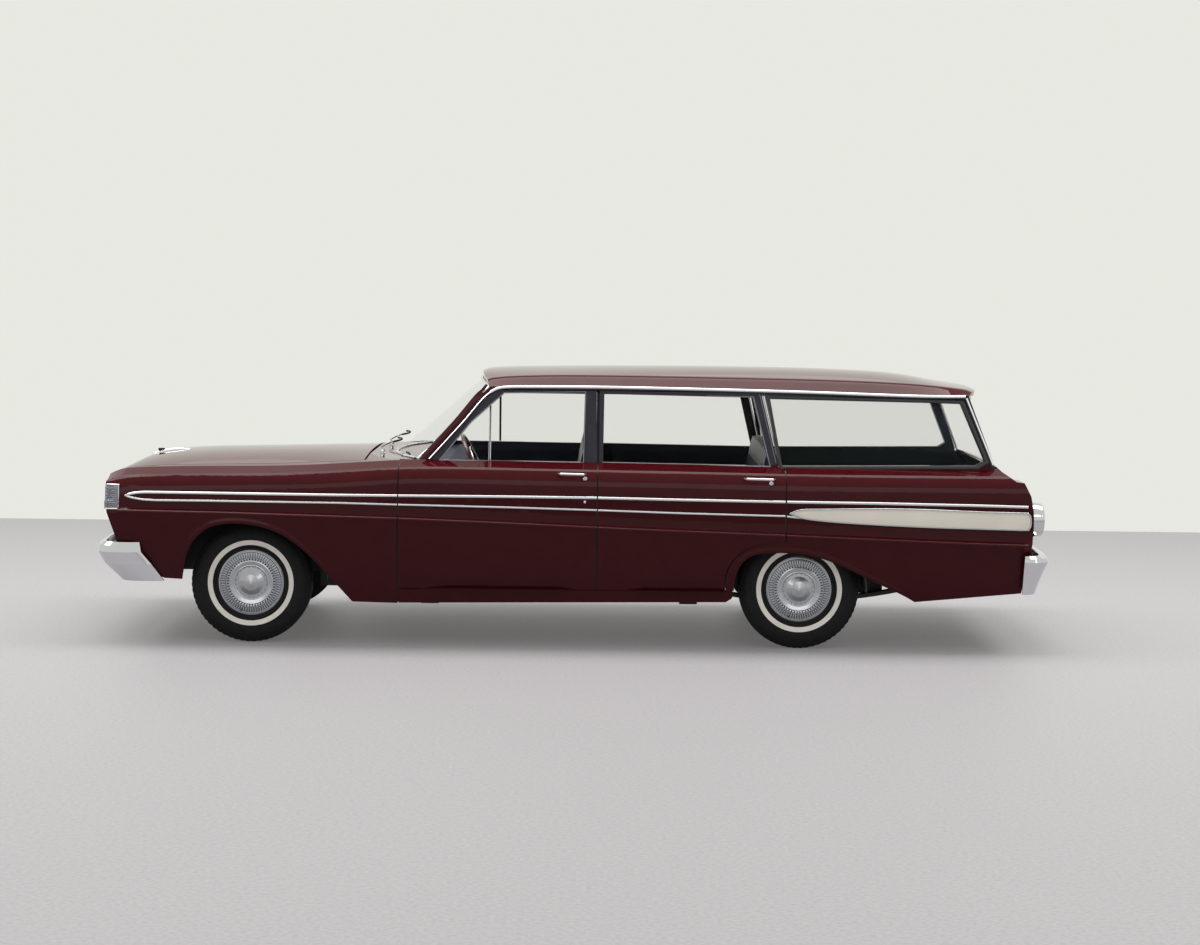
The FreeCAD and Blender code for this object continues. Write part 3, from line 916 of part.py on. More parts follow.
# Wheels and tyres, turned about an axle along Y; outboard is -Y
HALF_RIM = RIM_WIDTH / 2
rim_profile = [(RIM_RADIUS - 3, HALF_RIM), (RIM_RADIUS + 9, HALF_RIM), (RIM_RADIUS + 9, HALF_RIM - 5),
               (RIM_RADIUS - 1, HALF_RIM - 14), (RIM_RADIUS - 24, HALF_RIM - 34), (RIM_RADIUS - 24, -HALF_RIM + 34),
               (RIM_RADIUS - 1, -HALF_RIM + 14), (RIM_RADIUS + 9, -HALF_RIM + 5), (RIM_RADIUS + 9, -HALF_RIM),
               (RIM_RADIUS - 6, -HALF_RIM - 3), (RIM_RADIUS - 22, -HALF_RIM + 4), (108, -HALF_RIM - 12),
               (80, -HALF_RIM - 2), (64, -HALF_RIM - 4), (40, -HALF_RIM - 18), (0, -HALF_RIM - 30),
               (0, -HALF_RIM + 17), (SPINDLE_RADIUS + SEAT_GAP, -HALF_RIM + 17),
               (SPINDLE_RADIUS + SEAT_GAP, 20), (116, 20), (116, 32), (120, 32), (120, -20),
               (RIM_RADIUS - 29, -26), (RIM_RADIUS - 29, HALF_RIM - 30)]
tyre_profile = [(RIM_RADIUS + 9.3, HALF_RIM - 16), (RIM_RADIUS + 9.3, HALF_RIM + 2), (RIM_RADIUS + 22, HALF_RIM + 14),
                (RIM_RADIUS + 46, TYRE_WIDTH / 2 - 5), (RIM_RADIUS + 72, TYRE_WIDTH / 2), (RIM_RADIUS + 98, TYRE_WIDTH / 2 - 6),
                (TYRE_RADIUS - 20, TYRE_WIDTH / 2 - 16), (TYRE_RADIUS - 6, TYRE_WIDTH / 2 - 27), (TYRE_RADIUS, 0)]
tyre_profile += [(r, -y) for r, y in tyre_profile[-2::-1]]
tyre_profile += [(r - 9 if r > RIM_RADIUS + 60 else r, y * 0.86) for r, y in tyre_profile[-2:0:-1]]


def wheel_at(x, y):
    """Rim with cover, outboard towards -Y, centred on the tyre."""
    return turned(rim_profile, V(x, y, WHEEL_HEIGHT))


def tyre_at(x, y):
    return turned(tyre_profile, V(x, y, WHEEL_HEIGHT))


# Hang the pieces in the shared frame and write them out
nodes = {
    "floor_pan": floor_pan,
    "body_side_left": body_side,
    "body_side_right": mirrored(body_side),
    "roof": roof,
    "cowl": cowl,
    "front_fenders": both(fender),
    "nose_panel": nose_panel,
    "grille": grille,
    "front_lamps": front_lamps,
    "front_bumper": front_bumper,
    "rear_bumper": rear_bumper,
    "rear_panel": rear_panel,
    "tail_lamps": tail_lamps,
    "body_glass": Part.makeCompound([windshield, glass_quarter, mirrored(glass_quarter)]),
    "engine": engine,
    "radiator": radiator,
    "front_suspension": front_suspension,
    "rear_axle": rear_axle,
    "exhaust": exhaust,
    "fuel_tank": fuel_tank,
    "dashboard": dashboard,
    "front_seat": front_seat,
    "rear_seat": rear_seat,
    "hood": hood,
    "tailgate": tailgate,
    "tailgate_glass": tailgate_glass,
    "door_front_left": door_front,
    "door_front_right": mirrored(door_front),
    "door_rear_left": door_rear,
    "door_rear_right": mirrored(door_rear),
    "glass_front_left": glass_front,
    "glass_front_right": mirrored(glass_front),
    "glass_rear_left": glass_rear,
    "glass_rear_right": mirrored(glass_rear),
    "steering_wheel": steering_wheel,
    "knuckle_left": knuckle,
    "knuckle_right": mirrored(knuckle),
}
for side, sign in (("left", -1), ("right", 1)):
    for end, x, y in (("front", FRONT_AXLE_X, FRONT_WHEEL_Y), ("rear", REAR_AXLE_X, REAR_WHEEL_Y)):
        wheel = wheel_at(x, -y)
        tyre = tyre_at(x, -y)
        nodes["wheel_%s_%s" % (end, side)] = wheel if sign < 0 else mirrored(wheel)
        nodes["tyre_%s_%s" % (end, side)] = tyre if sign < 0 else mirrored(tyre)

os.makedirs("parts", exist_ok=True)
for name, shape in nodes.items():
    shape.exportStep("parts/%s.step" % name)
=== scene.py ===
import json
from math import copysign, cos, hypot, pi, radians, sin, sqrt, tau

import bmesh
import bpy
from mathutils import Matrix, Vector, noise
from mathutils.bvhtree import BVHTree


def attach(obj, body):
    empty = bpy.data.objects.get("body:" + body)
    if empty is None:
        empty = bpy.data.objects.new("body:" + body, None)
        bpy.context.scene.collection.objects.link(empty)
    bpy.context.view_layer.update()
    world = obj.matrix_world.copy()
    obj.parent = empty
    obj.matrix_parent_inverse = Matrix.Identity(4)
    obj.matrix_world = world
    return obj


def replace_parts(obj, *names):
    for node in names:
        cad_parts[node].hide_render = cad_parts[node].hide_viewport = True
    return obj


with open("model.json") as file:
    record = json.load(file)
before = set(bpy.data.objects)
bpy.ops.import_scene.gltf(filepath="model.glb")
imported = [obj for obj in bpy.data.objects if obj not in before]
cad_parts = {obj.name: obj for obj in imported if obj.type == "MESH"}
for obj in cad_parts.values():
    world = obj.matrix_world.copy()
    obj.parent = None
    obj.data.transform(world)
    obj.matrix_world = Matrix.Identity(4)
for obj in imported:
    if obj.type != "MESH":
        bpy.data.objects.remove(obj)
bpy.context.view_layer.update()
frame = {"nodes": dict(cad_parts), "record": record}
nodes = frame["nodes"]

# Places along the car, in metres: axles, shut lines, the body's front and rear
FX, RX = -1.6355, 1.1455
FD, SP, RD = -0.885, 0.117, 1.0625
BF, BR = -2.369, 2.323
BELT, HUB_Z = 0.937, 0.305
SIDES = (("left", 1), ("right", -1))


# Materials
def set_sockets(node, sockets):
    """Plain values on a node's own sockets; _ in a name stands for a space."""
    for key, value in sockets.items():
        node.inputs[key.replace("_", " ")].default_value = value
    return node


def add(tree, kind, **sockets):
    return set_sockets(tree.nodes.new("ShaderNode" + kind), sockets)


def shader_of(m):
    return m.node_tree.nodes["Principled BSDF"]


def new_material(name, **sockets):
    m = bpy.data.materials.new(name)
    m.use_nodes = True
    set_sockets(shader_of(m), sockets)
    return m


def place_on_object(t, texture, stretch=None):
    """Feed a texture with the object's own coordinates."""
    source = add(t, "TexCoord").outputs["Object"]
    if stretch:
        mapping = add(t, "Mapping", Scale=stretch)
        t.links.new(source, mapping.inputs["Vector"])
        source = mapping.outputs["Vector"]
    t.links.new(source, texture.inputs["Vector"])


def noise_out(m, scale, detail, stretch=None):
    tex = add(m.node_tree, "TexNoise", Scale=scale, Detail=detail)
    place_on_object(m.node_tree, tex, stretch)
    return tex.outputs["Fac"]


def vary_colour(m, dark, light, scale, detail=3.0, stops=(0.35, 0.65)):
    """Base colour that wanders between dark and light."""
    t = m.node_tree
    ramp = add(t, "ValToRGB")
    for stop, place, colour in zip(ramp.color_ramp.elements, stops, (dark, light)):
        stop.position = place
        stop.color = (*colour, 1)
    t.links.new(noise_out(m, scale, detail), ramp.inputs["Fac"])
    t.links.new(ramp.outputs["Color"], shader_of(m).inputs["Base Color"])
    return m


def vary_rough(m, low, high, scale, stretch=None):
    t = m.node_tree
    span = add(t, "MapRange", From_Min=0.3, From_Max=0.7, To_Min=low, To_Max=high)
    t.links.new(noise_out(m, scale, 4.0, stretch), span.inputs["Value"])
    t.links.new(span.outputs["Result"], shader_of(m).inputs["Roughness"])
    return m


def relief(m, height, depth):
    t = m.node_tree
    b = add(t, "Bump", Distance=depth, Strength=1.0)
    t.links.new(height, b.inputs["Height"])
    t.links.new(b.outputs["Normal"], shader_of(m).inputs["Normal"])
    return m


def noise_bump(m, scale, depth):
    return relief(m, noise_out(m, scale, 2.0), depth)


def grain_bump(m, scale, depth):
    """Leather-like cells."""
    cells = add(m.node_tree, "TexVoronoi")
    cells.feature = "DISTANCE_TO_EDGE"
    set_sockets(cells, {"Scale": scale})
    place_on_object(m.node_tree, cells)
    return relief(m, cells.outputs["Distance"], depth)


def ribs(m, axis, pitch, depth):
    """Rounded ribs across an axis, for lenses; Blender's wave repeats every tau / 20."""
    wave = add(m.node_tree, "TexWave")
    wave.bands_direction = axis
    wave.wave_profile = "SIN"
    set_sockets(wave, {"Scale": 1.0 / pitch / 20.0 * tau / 2})
    place_on_object(m.node_tree, wave)
    return relief(m, wave.outputs["Fac"], depth)


def finish(name, rough, dark, light, scale, grain=None, cells=False, detail=3.0, **sockets):
    """Material whose colour wanders; grain is the scale and depth of its relief, in cells or noise."""
    m = vary_colour(new_material(name, Roughness=rough, **sockets), dark, light, scale, detail)
    if grain:
        (grain_bump if cells else noise_bump)(m, *grain)
    return m


def metal(name, colour, rough, scale, metallic=1.0, stretch=None):
    m = new_material(name, Base_Color=(*colour, 1), Metallic=metallic)
    return vary_rough(m, *rough, scale, stretch)


def pane(name, colour, alpha):
    return noise_bump(new_material(name, Base_Color=(*colour, 1), Roughness=0.02, Alpha=alpha), 8.0, 0.00005)


paint = finish("maroon_paint", 0.4, (0.04, 0.0022, 0.0042), (0.044, 0.0027, 0.005), 9.0, (420.0, 0.00004),
               Specular_IOR_Level=0.0, Coat_Weight=1.0, Coat_Roughness=0.03, Coat_IOR=1.24)
chrome = metal("bright_chrome", (0.64, 0.65, 0.67), (0.05, 0.11), 30.0)
anodised = metal("bright_anodised", (0.72, 0.73, 0.75), (0.2, 0.3), 60.0, stretch=(1, 8, 1))
silver = metal("satin_cover", (0.42, 0.435, 0.46), (0.16, 0.24), 45.0, 0.92)
fine_line = metal("frame_line", (0.2, 0.2, 0.23), (0.25, 0.35), 60.0, 0.8)
rubber = finish("tyre_rubber", 0.7, (0.0055, 0.0055, 0.0068), (0.0095, 0.0095, 0.0112), 40.0,
                (500.0, 0.0002), Specular_IOR_Level=0.22)
whitewall = finish("white_band", 0.5, (0.8, 0.77, 0.69), (0.87, 0.84, 0.76), 14.0, (300.0, 0.0001))
ivory = finish("ivory_insert", 0.35, (0.8, 0.765, 0.665), (0.86, 0.825, 0.72), 5.0, (300.0, 0.00005),
               Coat_Weight=0.3, Coat_Roughness=0.1)
black = finish("satin_black", 0.45, (0.006, 0.006, 0.007), (0.012, 0.012, 0.013), 30.0, (260.0, 0.0001))
# Painted dark reflection: the window frames, body coloured on the car, take this dark colour for the dark
# they reflect
frame_painted_reflection = finish("frame_dark_reflection", 0.35, (0.011, 0.011, 0.018), (0.017, 0.017, 0.027), 20.0,
                    (300.0, 0.00004), Specular_IOR_Level=0.25)
chassis = finish("underbody_enamel", 0.6, (0.008, 0.008, 0.009), (0.02, 0.019, 0.018), 7.0, (90.0, 0.0006))
iron = finish("engine_paint", 0.5, (0.03, 0.05, 0.075), (0.045, 0.07, 0.1), 15.0, (120.0, 0.0008))
steel = finish("dull_steel", 0.5, (0.09, 0.085, 0.08), (0.16, 0.155, 0.15), 12.0, Metallic=0.8)
vary_rough(steel, 0.4, 0.65, 22.0)
vinyl = finish("navy_vinyl", 0.5, (0.012, 0.013, 0.027), (0.018, 0.02, 0.038), 16.0, (520.0, 0.0004), True,
               Specular_IOR_Level=0.14)
grey_vinyl = finish("grey_vinyl", 0.5, (0.34, 0.34, 0.35), (0.41, 0.41, 0.42), 16.0, (520.0, 0.0004), True)
carpet = finish("floor_carpet", 0.95, (0.012, 0.014, 0.022), (0.03, 0.034, 0.046), 190.0, (420.0, 0.003),
                detail=4.0, Sheen_Weight=0.3)
lining = finish("roof_lining", 0.85, (0.3, 0.3, 0.29), (0.37, 0.365, 0.35), 60.0, (300.0, 0.0006), True)
maroon_plastic = finish("maroon_plastic", 0.28, (0.05, 0.006, 0.01), (0.065, 0.008, 0.013), 20.0,
                        (200.0, 0.00005), Coat_Weight=0.4)
blank_plate = finish("blank_plate", 0.4, (0.6, 0.6, 0.57), (0.68, 0.68, 0.65), 12.0, (200.0, 0.0001))
glass = pane("window_glass", (0.02, 0.028, 0.024), 0.03)
tinted = pane("tinted_glass", (0.03, 0.055, 0.04), 0.055)
clear_lens = new_material("clear_lens", Base_Color=(0.82, 0.85, 0.88, 1), Roughness=0.08,
                          Alpha=0.45, Coat_Weight=1.0)
corner_lens = new_material("corner_lens", Base_Color=(0.24, 0.25, 0.28, 1), Roughness=0.15,
                           Metallic=0.5, Coat_Weight=0.6)
red_lens = finish("red_lens", 0.1, (0.34, 0.006, 0.006), (0.42, 0.01, 0.008), 30.0, Coat_Weight=1.0)
ribs(clear_lens, "Y", 0.009, 0.0015)
ribs(corner_lens, "Z", 0.0095, 0.002)
ribs(red_lens, "Z", 0.006, 0.0012)

by_slot = {"body_paint": paint, "underbody_paint": chassis, "chrome_trim": chrome, "grille_bright": anodised,
           "lens_clear": clear_lens, "lens_red": red_lens, "window_glass": glass, "engine_iron": iron,
           "core_black": black, "chassis_steel": chassis, "exhaust_steel": steel, "dash_paint": vinyl,
           "seat_vinyl": vinyl, "wheel_silver": silver, "tyre_rubber": rubber, "rim_plastic": maroon_plastic}
for part in frame["record"]["subparts"]:
    materials = nodes[part["node"]].data.materials
    materials.clear()
    materials.append(by_slot[part["material_slot"]])
# Slot of each material by name; link looks up its first material's slot here, but does not use it
SLOT_OF = {m.name: slot for slot, m in by_slot.items()}
SLOT_OF.update(grey_vinyl="seat_vinyl", frame_line="grille_bright")


# Mesh helpers
def link(name, shape, materials, body="body", slot=None, indices=None, sharp=35.0):
    """Piece of a shape (verts, faces) that rides on a body, smooth up to the sharp angle in degrees."""
    mesh = bpy.data.meshes.new(name)
    mesh.from_pydata([tuple(v) for v in shape[0]], [], shape[1])
    if not isinstance(materials, list):
        materials = [materials]
    for m in materials:
        mesh.materials.append(m)
    if indices:
        mesh.polygons.foreach_set("material_index", indices)
    mesh.validate()
    bm = bmesh.new()
    bm.from_mesh(mesh)
    bmesh.ops.recalc_face_normals(bm, faces=bm.faces)
    bm.to_mesh(mesh)
    bm.free()
    mesh.polygons.foreach_set("use_smooth", [True] * len(mesh.polygons))
    mesh.set_sharp_from_angle(angle=radians(sharp))
    obj = bpy.data.objects.new(name, mesh)
    bpy.context.scene.collection.objects.link(obj)
    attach(obj, body)
    slot = slot or SLOT_OF.get(materials[0].name)
    return obj


def pair(name, shape, materials, body="body", slot=None, **more):
    """The piece on the left side and its mirror image on the right."""
    made = []
    for side, sign in SIDES:
        sided = [(v[0], v[1] * sign, v[2]) for v in shape[0]], shape[1]
        made.append(link(name + "_" + side, sided, materials, body.replace("SIDE", side), slot, **more))
    return made


def quads(rows, n, closed=True, wrap=True):
    """Faces of rows of n verts; closed joins the last row to the first, and wrap does so for columns."""
    return [(i * n + k, i * n + (k + 1) % n, (i + 1) % rows * n + (k + 1) % n, (i + 1) % rows * n + k)
            for i in range(rows if closed else rows - 1) for k in range(n if wrap else n - 1)]


def caps(rows, n):
    return [tuple(range(n)), tuple(range((rows - 1) * n, rows * n))]


def sweep(path, profile, closed=False):
    """Profile carried along a path of frames (point, across, out)."""
    verts = [p + across * a + out * o for p, across, out in path for a, o in profile]
    rows, n = len(path), len(profile)
    return verts, quads(rows, n, closed) + ([] if closed else caps(rows, n))


def ring_profile(radius, count=10, other=None):
    """Circle, or an oval of two radii."""
    turns = [tau * i / count for i in range(count)]
    return [(radius * cos(a), (other or radius) * sin(a)) for a in turns]


def tube_frames(points, closed=False):
    points = [Vector(p) for p in points]
    frames = []
    n = len(points)
    for i, p in enumerate(points):
        before = points[(i - 1) % n] if closed or i else points[0]
        after = points[(i + 1) % n] if closed or i < n - 1 else points[-1]
        along = (after - before).normalized()
        side = Vector((0, -1, 0)) if abs(along.y) < 0.8 else Vector((0, 0, 1))
        across = along.cross(side).normalized()
        frames.append((p, across, along.cross(across).normalized()))
    return frames


def tube(points, radius, count=10):
    return sweep(tube_frames(points), ring_profile(radius, count))


def revolve(profile, centre, count, axis="Y"):
    """Turn a closed profile of (radius, offset) about an axis through centre; offset runs along +axis."""
    verts = []
    for i in range(count):
        s, c = sin(tau * i / count), cos(tau * i / count)
        for r, o in profile:
            verts.append(Vector(centre) + Vector((r * s, o, r * c) if axis == "Y" else (o, r * s, r * c)))
    return verts, quads(count, len(profile))


def block(x0, x1, y0, y1, z0, z1, bevel=0.0, segments=2):
    bm = bmesh.new()
    bmesh.ops.create_cube(bm, size=1.0)
    for v in bm.verts:
        v.co = Vector(((x0 + x1) / 2 + v.co.x * (x1 - x0), (y0 + y1) / 2 + v.co.y * (y1 - y0),
                       (z0 + z1) / 2 + v.co.z * (z1 - z0)))
    if bevel:
        bmesh.ops.bevel(bm, geom=bm.edges[:], offset=bevel, segments=segments, affect="EDGES", profile=0.7)
    verts = [v.co.copy() for v in bm.verts]
    faces = [tuple(v.index for v in f.verts) for f in bm.faces]
    bm.free()
    return verts, faces


def tree_of(names):
    verts, polys = [], []
    for name in names:
        data = nodes[name].data
        base = len(verts)
        verts += [v.co.copy() for v in data.vertices]
        polys += [[base + i for i in p.vertices] for p in data.polygons]
    return BVHTree.FromPolygons(verts, polys)


SKIN = tree_of(["body_side_left", "door_front_left", "door_rear_left", "front_fenders", "front_lamps"])


def skin_y(x, z):
    """Outermost skin of the left side near (x, z); gaps between panels are bridged."""
    best = None
    for dx in (0.0, -0.007, 0.007):
        hit = SKIN.ray_cast(Vector((x + dx, -2.0, z)), Vector((0, 1, 0)))
        if hit[0] is not None and (best is None or hit[0].y < best):
            best = hit[0].y
    return best if best is not None else -0.88


def resample(points, step):
    out = [Vector((points[0][0], 0, points[0][1]))]
    for a, b in zip(points, points[1:]):
        a, b = Vector((a[0], 0, a[1])), Vector((b[0], 0, b[1]))
        count = max(1, int((b - a).length / step))
        out += [a.lerp(b, (i + 1) / count) for i in range(count)]
    return out


def curve_point(a, b, c, d, t):
    """Catmull-Rom point between b and c."""
    square, cube = a * 2 - b * 5 + c * 4 - d, b * 3 - a - c * 3 + d
    return (b * 2 + (c - a) * t + square * t * t + cube * t ** 3) * 0.5


def smooth_path(points, count):
    """Points of a Catmull-Rom curve through (x, z) points."""
    p = [Vector((x, 0, z)) for x, z in points]
    p = [p[0] * 2 - p[1]] + p + [p[-1] * 2 - p[-2]]
    out = []
    for i in range(1, len(p) - 2):
        for k in range(count):
            q = curve_point(*p[i - 1:i + 3], k / count)
            out.append((q.x, q.z))
    out.append((points[-1][0], points[-1][1]))
    return out


HALF_ROUND = ((-1.0, -0.3), (-1.0, 0.35), (-0.72, 0.8), (-0.3, 1.0), (0.3, 1.0), (0.72, 0.8), (1.0, 0.35),
              (1.0, -0.3))
SMOOTH_SPAN = 5


def moulding(name, points, half, proud, body, material=None, slot=None, closed=False, step=0.02, taper=None,
             profile=HALF_ROUND, y_of=skin_y):
    """Strip laid on the skin along (x, z) points, on both sides; its heights are smoothed along it."""
    path = resample(points, step) if step else [Vector((x, 0, z)) for x, z in points]
    if closed and (path[0] - path[-1]).length < 1e-6:
        path = path[:-1]
    verts, rows = [], []
    count = len(path)
    for i, p in enumerate(path):
        before = path[(i - 1) % count] if closed or i else p * 2 - path[1]
        after = path[(i + 1) % count] if closed or i < count - 1 else p * 2 - path[-2]
        first, second = (p - before).normalized(), (after - p).normalized()
        along = (first + second).normalized()
        across = Vector((-along.z, 0, along.x))
        reach = 1.0 / max(0.5, across.dot(Vector((-second.z, 0, second.x))))
        scale = taper(i / (count - 1)) if taper else 1.0
        h = half * scale
        ends = [y_of(p.x + across.x * h * s, p.z + across.z * h * s) for s in (-1, 0, 1)]
        rows.append((p, across, reach, scale, h, ends))
    for i, (p, across, reach, scale, h, _) in enumerate(rows):
        span = 0 if closed else min(SMOOTH_SPAN, i, count - 1 - i)
        near = [row[5] for row in rows[i - span:i + span + 1]]
        ends = [sum(e[k] for e in near) / len(near) for k in range(3)]
        for a, o in profile:
            y = ends[1] + (ends[2] - ends[1]) * a if a > 0 else ends[1] + (ends[0] - ends[1]) * -a
            verts.append(Vector((p.x + across.x * h * a * reach, y - proud * o * max(scale, 0.35),
                                 p.z + across.z * h * a * reach)))
    faces = quads(count, len(profile), closed) + ([] if closed else caps(count, len(profile)))
    return pair(name, (verts, faces), material or chrome, body, slot)


# Chrome lines of the side
PANELS = (("fender", -9.0, FD - 0.003, "body"), ("door_front", FD + 0.003, SP - 0.003, "door_front_SIDE"),
          ("door_rear", SP + 0.003, RD - 0.001, "door_rear_SIDE"), ("quarter", RD + 0.007, 9.0, "body"))


def at(points, x):
    for (xa, za), (xb, zb) in zip(points, points[1:]):
        if xa <= x <= xb:
            return za + (zb - za) * (x - xa) / (xb - xa)
    return points[0][1] if x < points[0][0] else points[-1][1]


def clip(points, x0, x1):
    """The part of a polyline that runs between x0 and x1; x grows along it."""
    low, high = max(x0, points[0][0]), min(x1, points[-1][0])
    inside = [p for p in points if low < p[0] < high]
    return [(low, at(points, low))] + inside + [(high, at(points, high))] if low < high else []


def along_panels(strips, **more):
    """Mouldings that are split at the shut lines; a strip is its name, line, half width and height."""
    for panel, x0, x1, body in PANELS:
        for name, line, half, proud in strips:
            run = clip(line, x0, x1)
            if run:
                moulding(name + "_" + panel, run, half, proud, body, step=0.025, **more)


UPPER = [(-2.105, 0.7665), (-1.852, 0.767), (-1.181, 0.766), (-0.352, 0.768), (0.1, 0.7675), (0.544, 0.762),
         (1.056, 0.758), (1.528, 0.756), (2.027, 0.749), (2.288, 0.743)]
LOWER = [(-2.105, 0.7275), (-1.852, 0.729), (-1.468, 0.728), (-1.18, 0.727), (-0.894, 0.722),
         (-0.351, 0.715), (0.1, 0.706), (0.545, 0.695), (1.058, 0.687), (1.15, 0.677)]
along_panels((("strip_upper", UPPER, 0.0074, 0.0075), ("strip_lower", LOWER, 0.0062, 0.0068)))
# Spear tip that joins the two strips ahead of the front wheel
for name, half, proud, tip in (
        ("high", 0.0074, 0.0075, [(-2.105, 0.7665), (-2.17, 0.7655), (-2.222, 0.7595), (-2.256, 0.7495)]),
        ("low", 0.0062, 0.0068, [(-2.105, 0.7275), (-2.17, 0.7305), (-2.222, 0.7385), (-2.256, 0.7465)])):
    moulding("strip_tip_" + name, smooth_path(tip, 8) + [(-2.262, 0.7475)], half, proud, "body", step=None,
             taper=lambda t: 1.0 if t < 0.85 else 1.0 - 4 * (t - 0.85))

# Ivory insert of the quarter panel in its bright frame
TOP_EDGE = [(1.084, 0.7005), (1.118, 0.716), (1.159, 0.723), (1.233, 0.7245), (1.529, 0.73), (1.78, 0.728),
            (2.028, 0.719), (2.262, 0.7145), (2.286, 0.7095), (2.3, 0.697), (2.3045, 0.6675)]
LOW_EDGE = [(1.15, 0.677), (1.263, 0.663), (1.433, 0.652), (1.732, 0.639), (2.03, 0.631), (2.268, 0.6255),
            (2.29, 0.6295), (2.301, 0.642), (2.3045, 0.6675)]
insert_top, insert_low = smooth_path(TOP_EDGE, 8), smooth_path(TOP_EDGE[:1] + LOW_EDGE, 8)
COLUMNS, ROWS = 111, 9
verts, faces = [], []
for i in range(COLUMNS):
    x = 1.09 + (2.3 - 1.09) * i / (COLUMNS - 1)
    high, low = at(insert_top, x) - 0.002, at(insert_low, x) + 0.002
    for k in range(ROWS):
        z = low + (high - low) * k / (ROWS - 1)
        crown = 0.0035 + 0.003 * (1 - (2 * k / (ROWS - 1) - 1) ** 2)
        verts.append(Vector((x, skin_y(x, z) - crown, z)))
for i in range(COLUMNS - 1):
    for k in range(ROWS - 1):
        faces.append((i * ROWS + k, (i + 1) * ROWS + k, (i + 1) * ROWS + k + 1, i * ROWS + k + 1))
pair("quarter_insert", (verts, faces), ivory, sharp=60)
outline = insert_top + insert_low[::-1][1:-1]
moulding("quarter_insert_frame", outline, 0.0045, 0.011, "body", closed=True, step=None)

# Window edges: thin bright lines at the doors, dark ones at the quarter glass
FRONT_GLASS = [(FD + 0.206, BELT + 0.004), (FD + 0.36, 1.13), (FD + 0.524, 1.277), (SP - 0.069, 1.286),
               (SP - 0.076, BELT - 0.001)]
REAR_GLASS = [(SP + 0.027, BELT), (SP + 0.03, 1.28), (RD - 0.16, 1.27), (RD - 0.076, BELT - 0.008)]
QUARTER_GLASS = [(RD - 0.01, BELT - 0.008), (RD - 0.072, 1.264), (RD + 0.724, 1.254), (RD + 0.898, 1.25),
                 (RD + 1.018, BELT + 0.028), (RD + 0.978, BELT + 0.004)]


def grown(outline, distance):
    """Outline moved outward by distance."""
    n = len(outline)
    pairs = zip(outline, outline[1:] + outline[:1])
    sign = 1 if sum(a[0] * b[1] - b[0] * a[1] for a, b in pairs) > 0 else -1
    out = []
    for i in range(n):
        a, b, c = Vector(outline[i - 1]), Vector(outline[i]), Vector(outline[(i + 1) % n])
        d1, d2 = (b - a).normalized(), (c - b).normalized()
        n1, n2 = Vector((d1.y, -d1.x)) * sign, Vector((d2.y, -d2.x)) * sign
        m = (n1 + n2).normalized()
        out.append(tuple(b + m * distance / max(0.4, m.dot(n1))))
    return out


def frame_plane(x, z):
    """Outer face of the window frames."""
    return -(0.748 - 0.234 * (z - BELT))


for name, outline, body, wide, finish_of in (("front", FRONT_GLASS, "door_front_SIDE", 0.0034, fine_line),
                                             ("rear", REAR_GLASS, "door_rear_SIDE", 0.0034, fine_line),
                                             ("quarter", QUARTER_GLASS, "body", 0.0095, black)):
    loop = grown(outline, wide)
    moulding("window_edge_" + name, loop + loop[:1], wide, 0.0045, body, finish_of, closed=True, step=0.04,
             y_of=frame_plane)

# Wheels, with profiles of (radius, distance outboard of the hub's middle)
SIDEWALL = [(0.1755, 0.061), (0.188, 0.0735), (0.1915, 0.0755), (0.193, 0.0775), (0.205, 0.0805),
            (0.2175, 0.083), (0.2195, 0.0835), (0.2215, 0.0855), (0.238, 0.0858), (0.252, 0.0842),
            (0.264, 0.0805), (0.276, 0.0765), (0.285, 0.07), (0.291, 0.0655), (0.2975, 0.062),
            (0.3005, 0.0575)]
TREAD_BLOCKS = ((0.056, 0.037), (0.033, 0.013), (0.009, -0.009), (-0.013, -0.033), (-0.037, -0.056))
WHITE_ROWS = (3, 4)
TYRE_STEPS, COVER_STEPS = 180, 216
COVER = [(0.1625, 0.045), (0.1634, 0.06), (0.1612, 0.0655), (0.1578, 0.0662), (0.1562, 0.0612),
         (0.1536, 0.0612), (0.1518, 0.0652), (0.1405, 0.0682), (0.129, 0.0692), (0.1272, 0.0652),
         (0.1246, 0.0652), (0.123, 0.07), (0.1185, 0.0708), (0.1138, 0.0692), (0.1105, 0.0655),
         (0.104, 0.0622), (0.096, 0.06), (0.092, 0.0608), (0.089, 0.0642), (0.0862, 0.0654),
         (0.0835, 0.0642), (0.08, 0.0608), (0.066, 0.06), (0.056, 0.0608), (0.05, 0.064), (0.034, 0.0728),
         (0.02, 0.0806), (0.009, 0.0856), (0.0004, 0.087)]
DOT = [(cos(tau * (k + 0.5) / 8), sin(tau * (k + 0.5) / 8)) for k in range(8)]
# Number, ring radius, height, half width and half length of the cover's dark marks
COVER_MARKS = ((20, 0.0735, 0.0604, 0.0058, 0.0062), (52, 0.1183, 0.0708, 0.0038, 0.006))


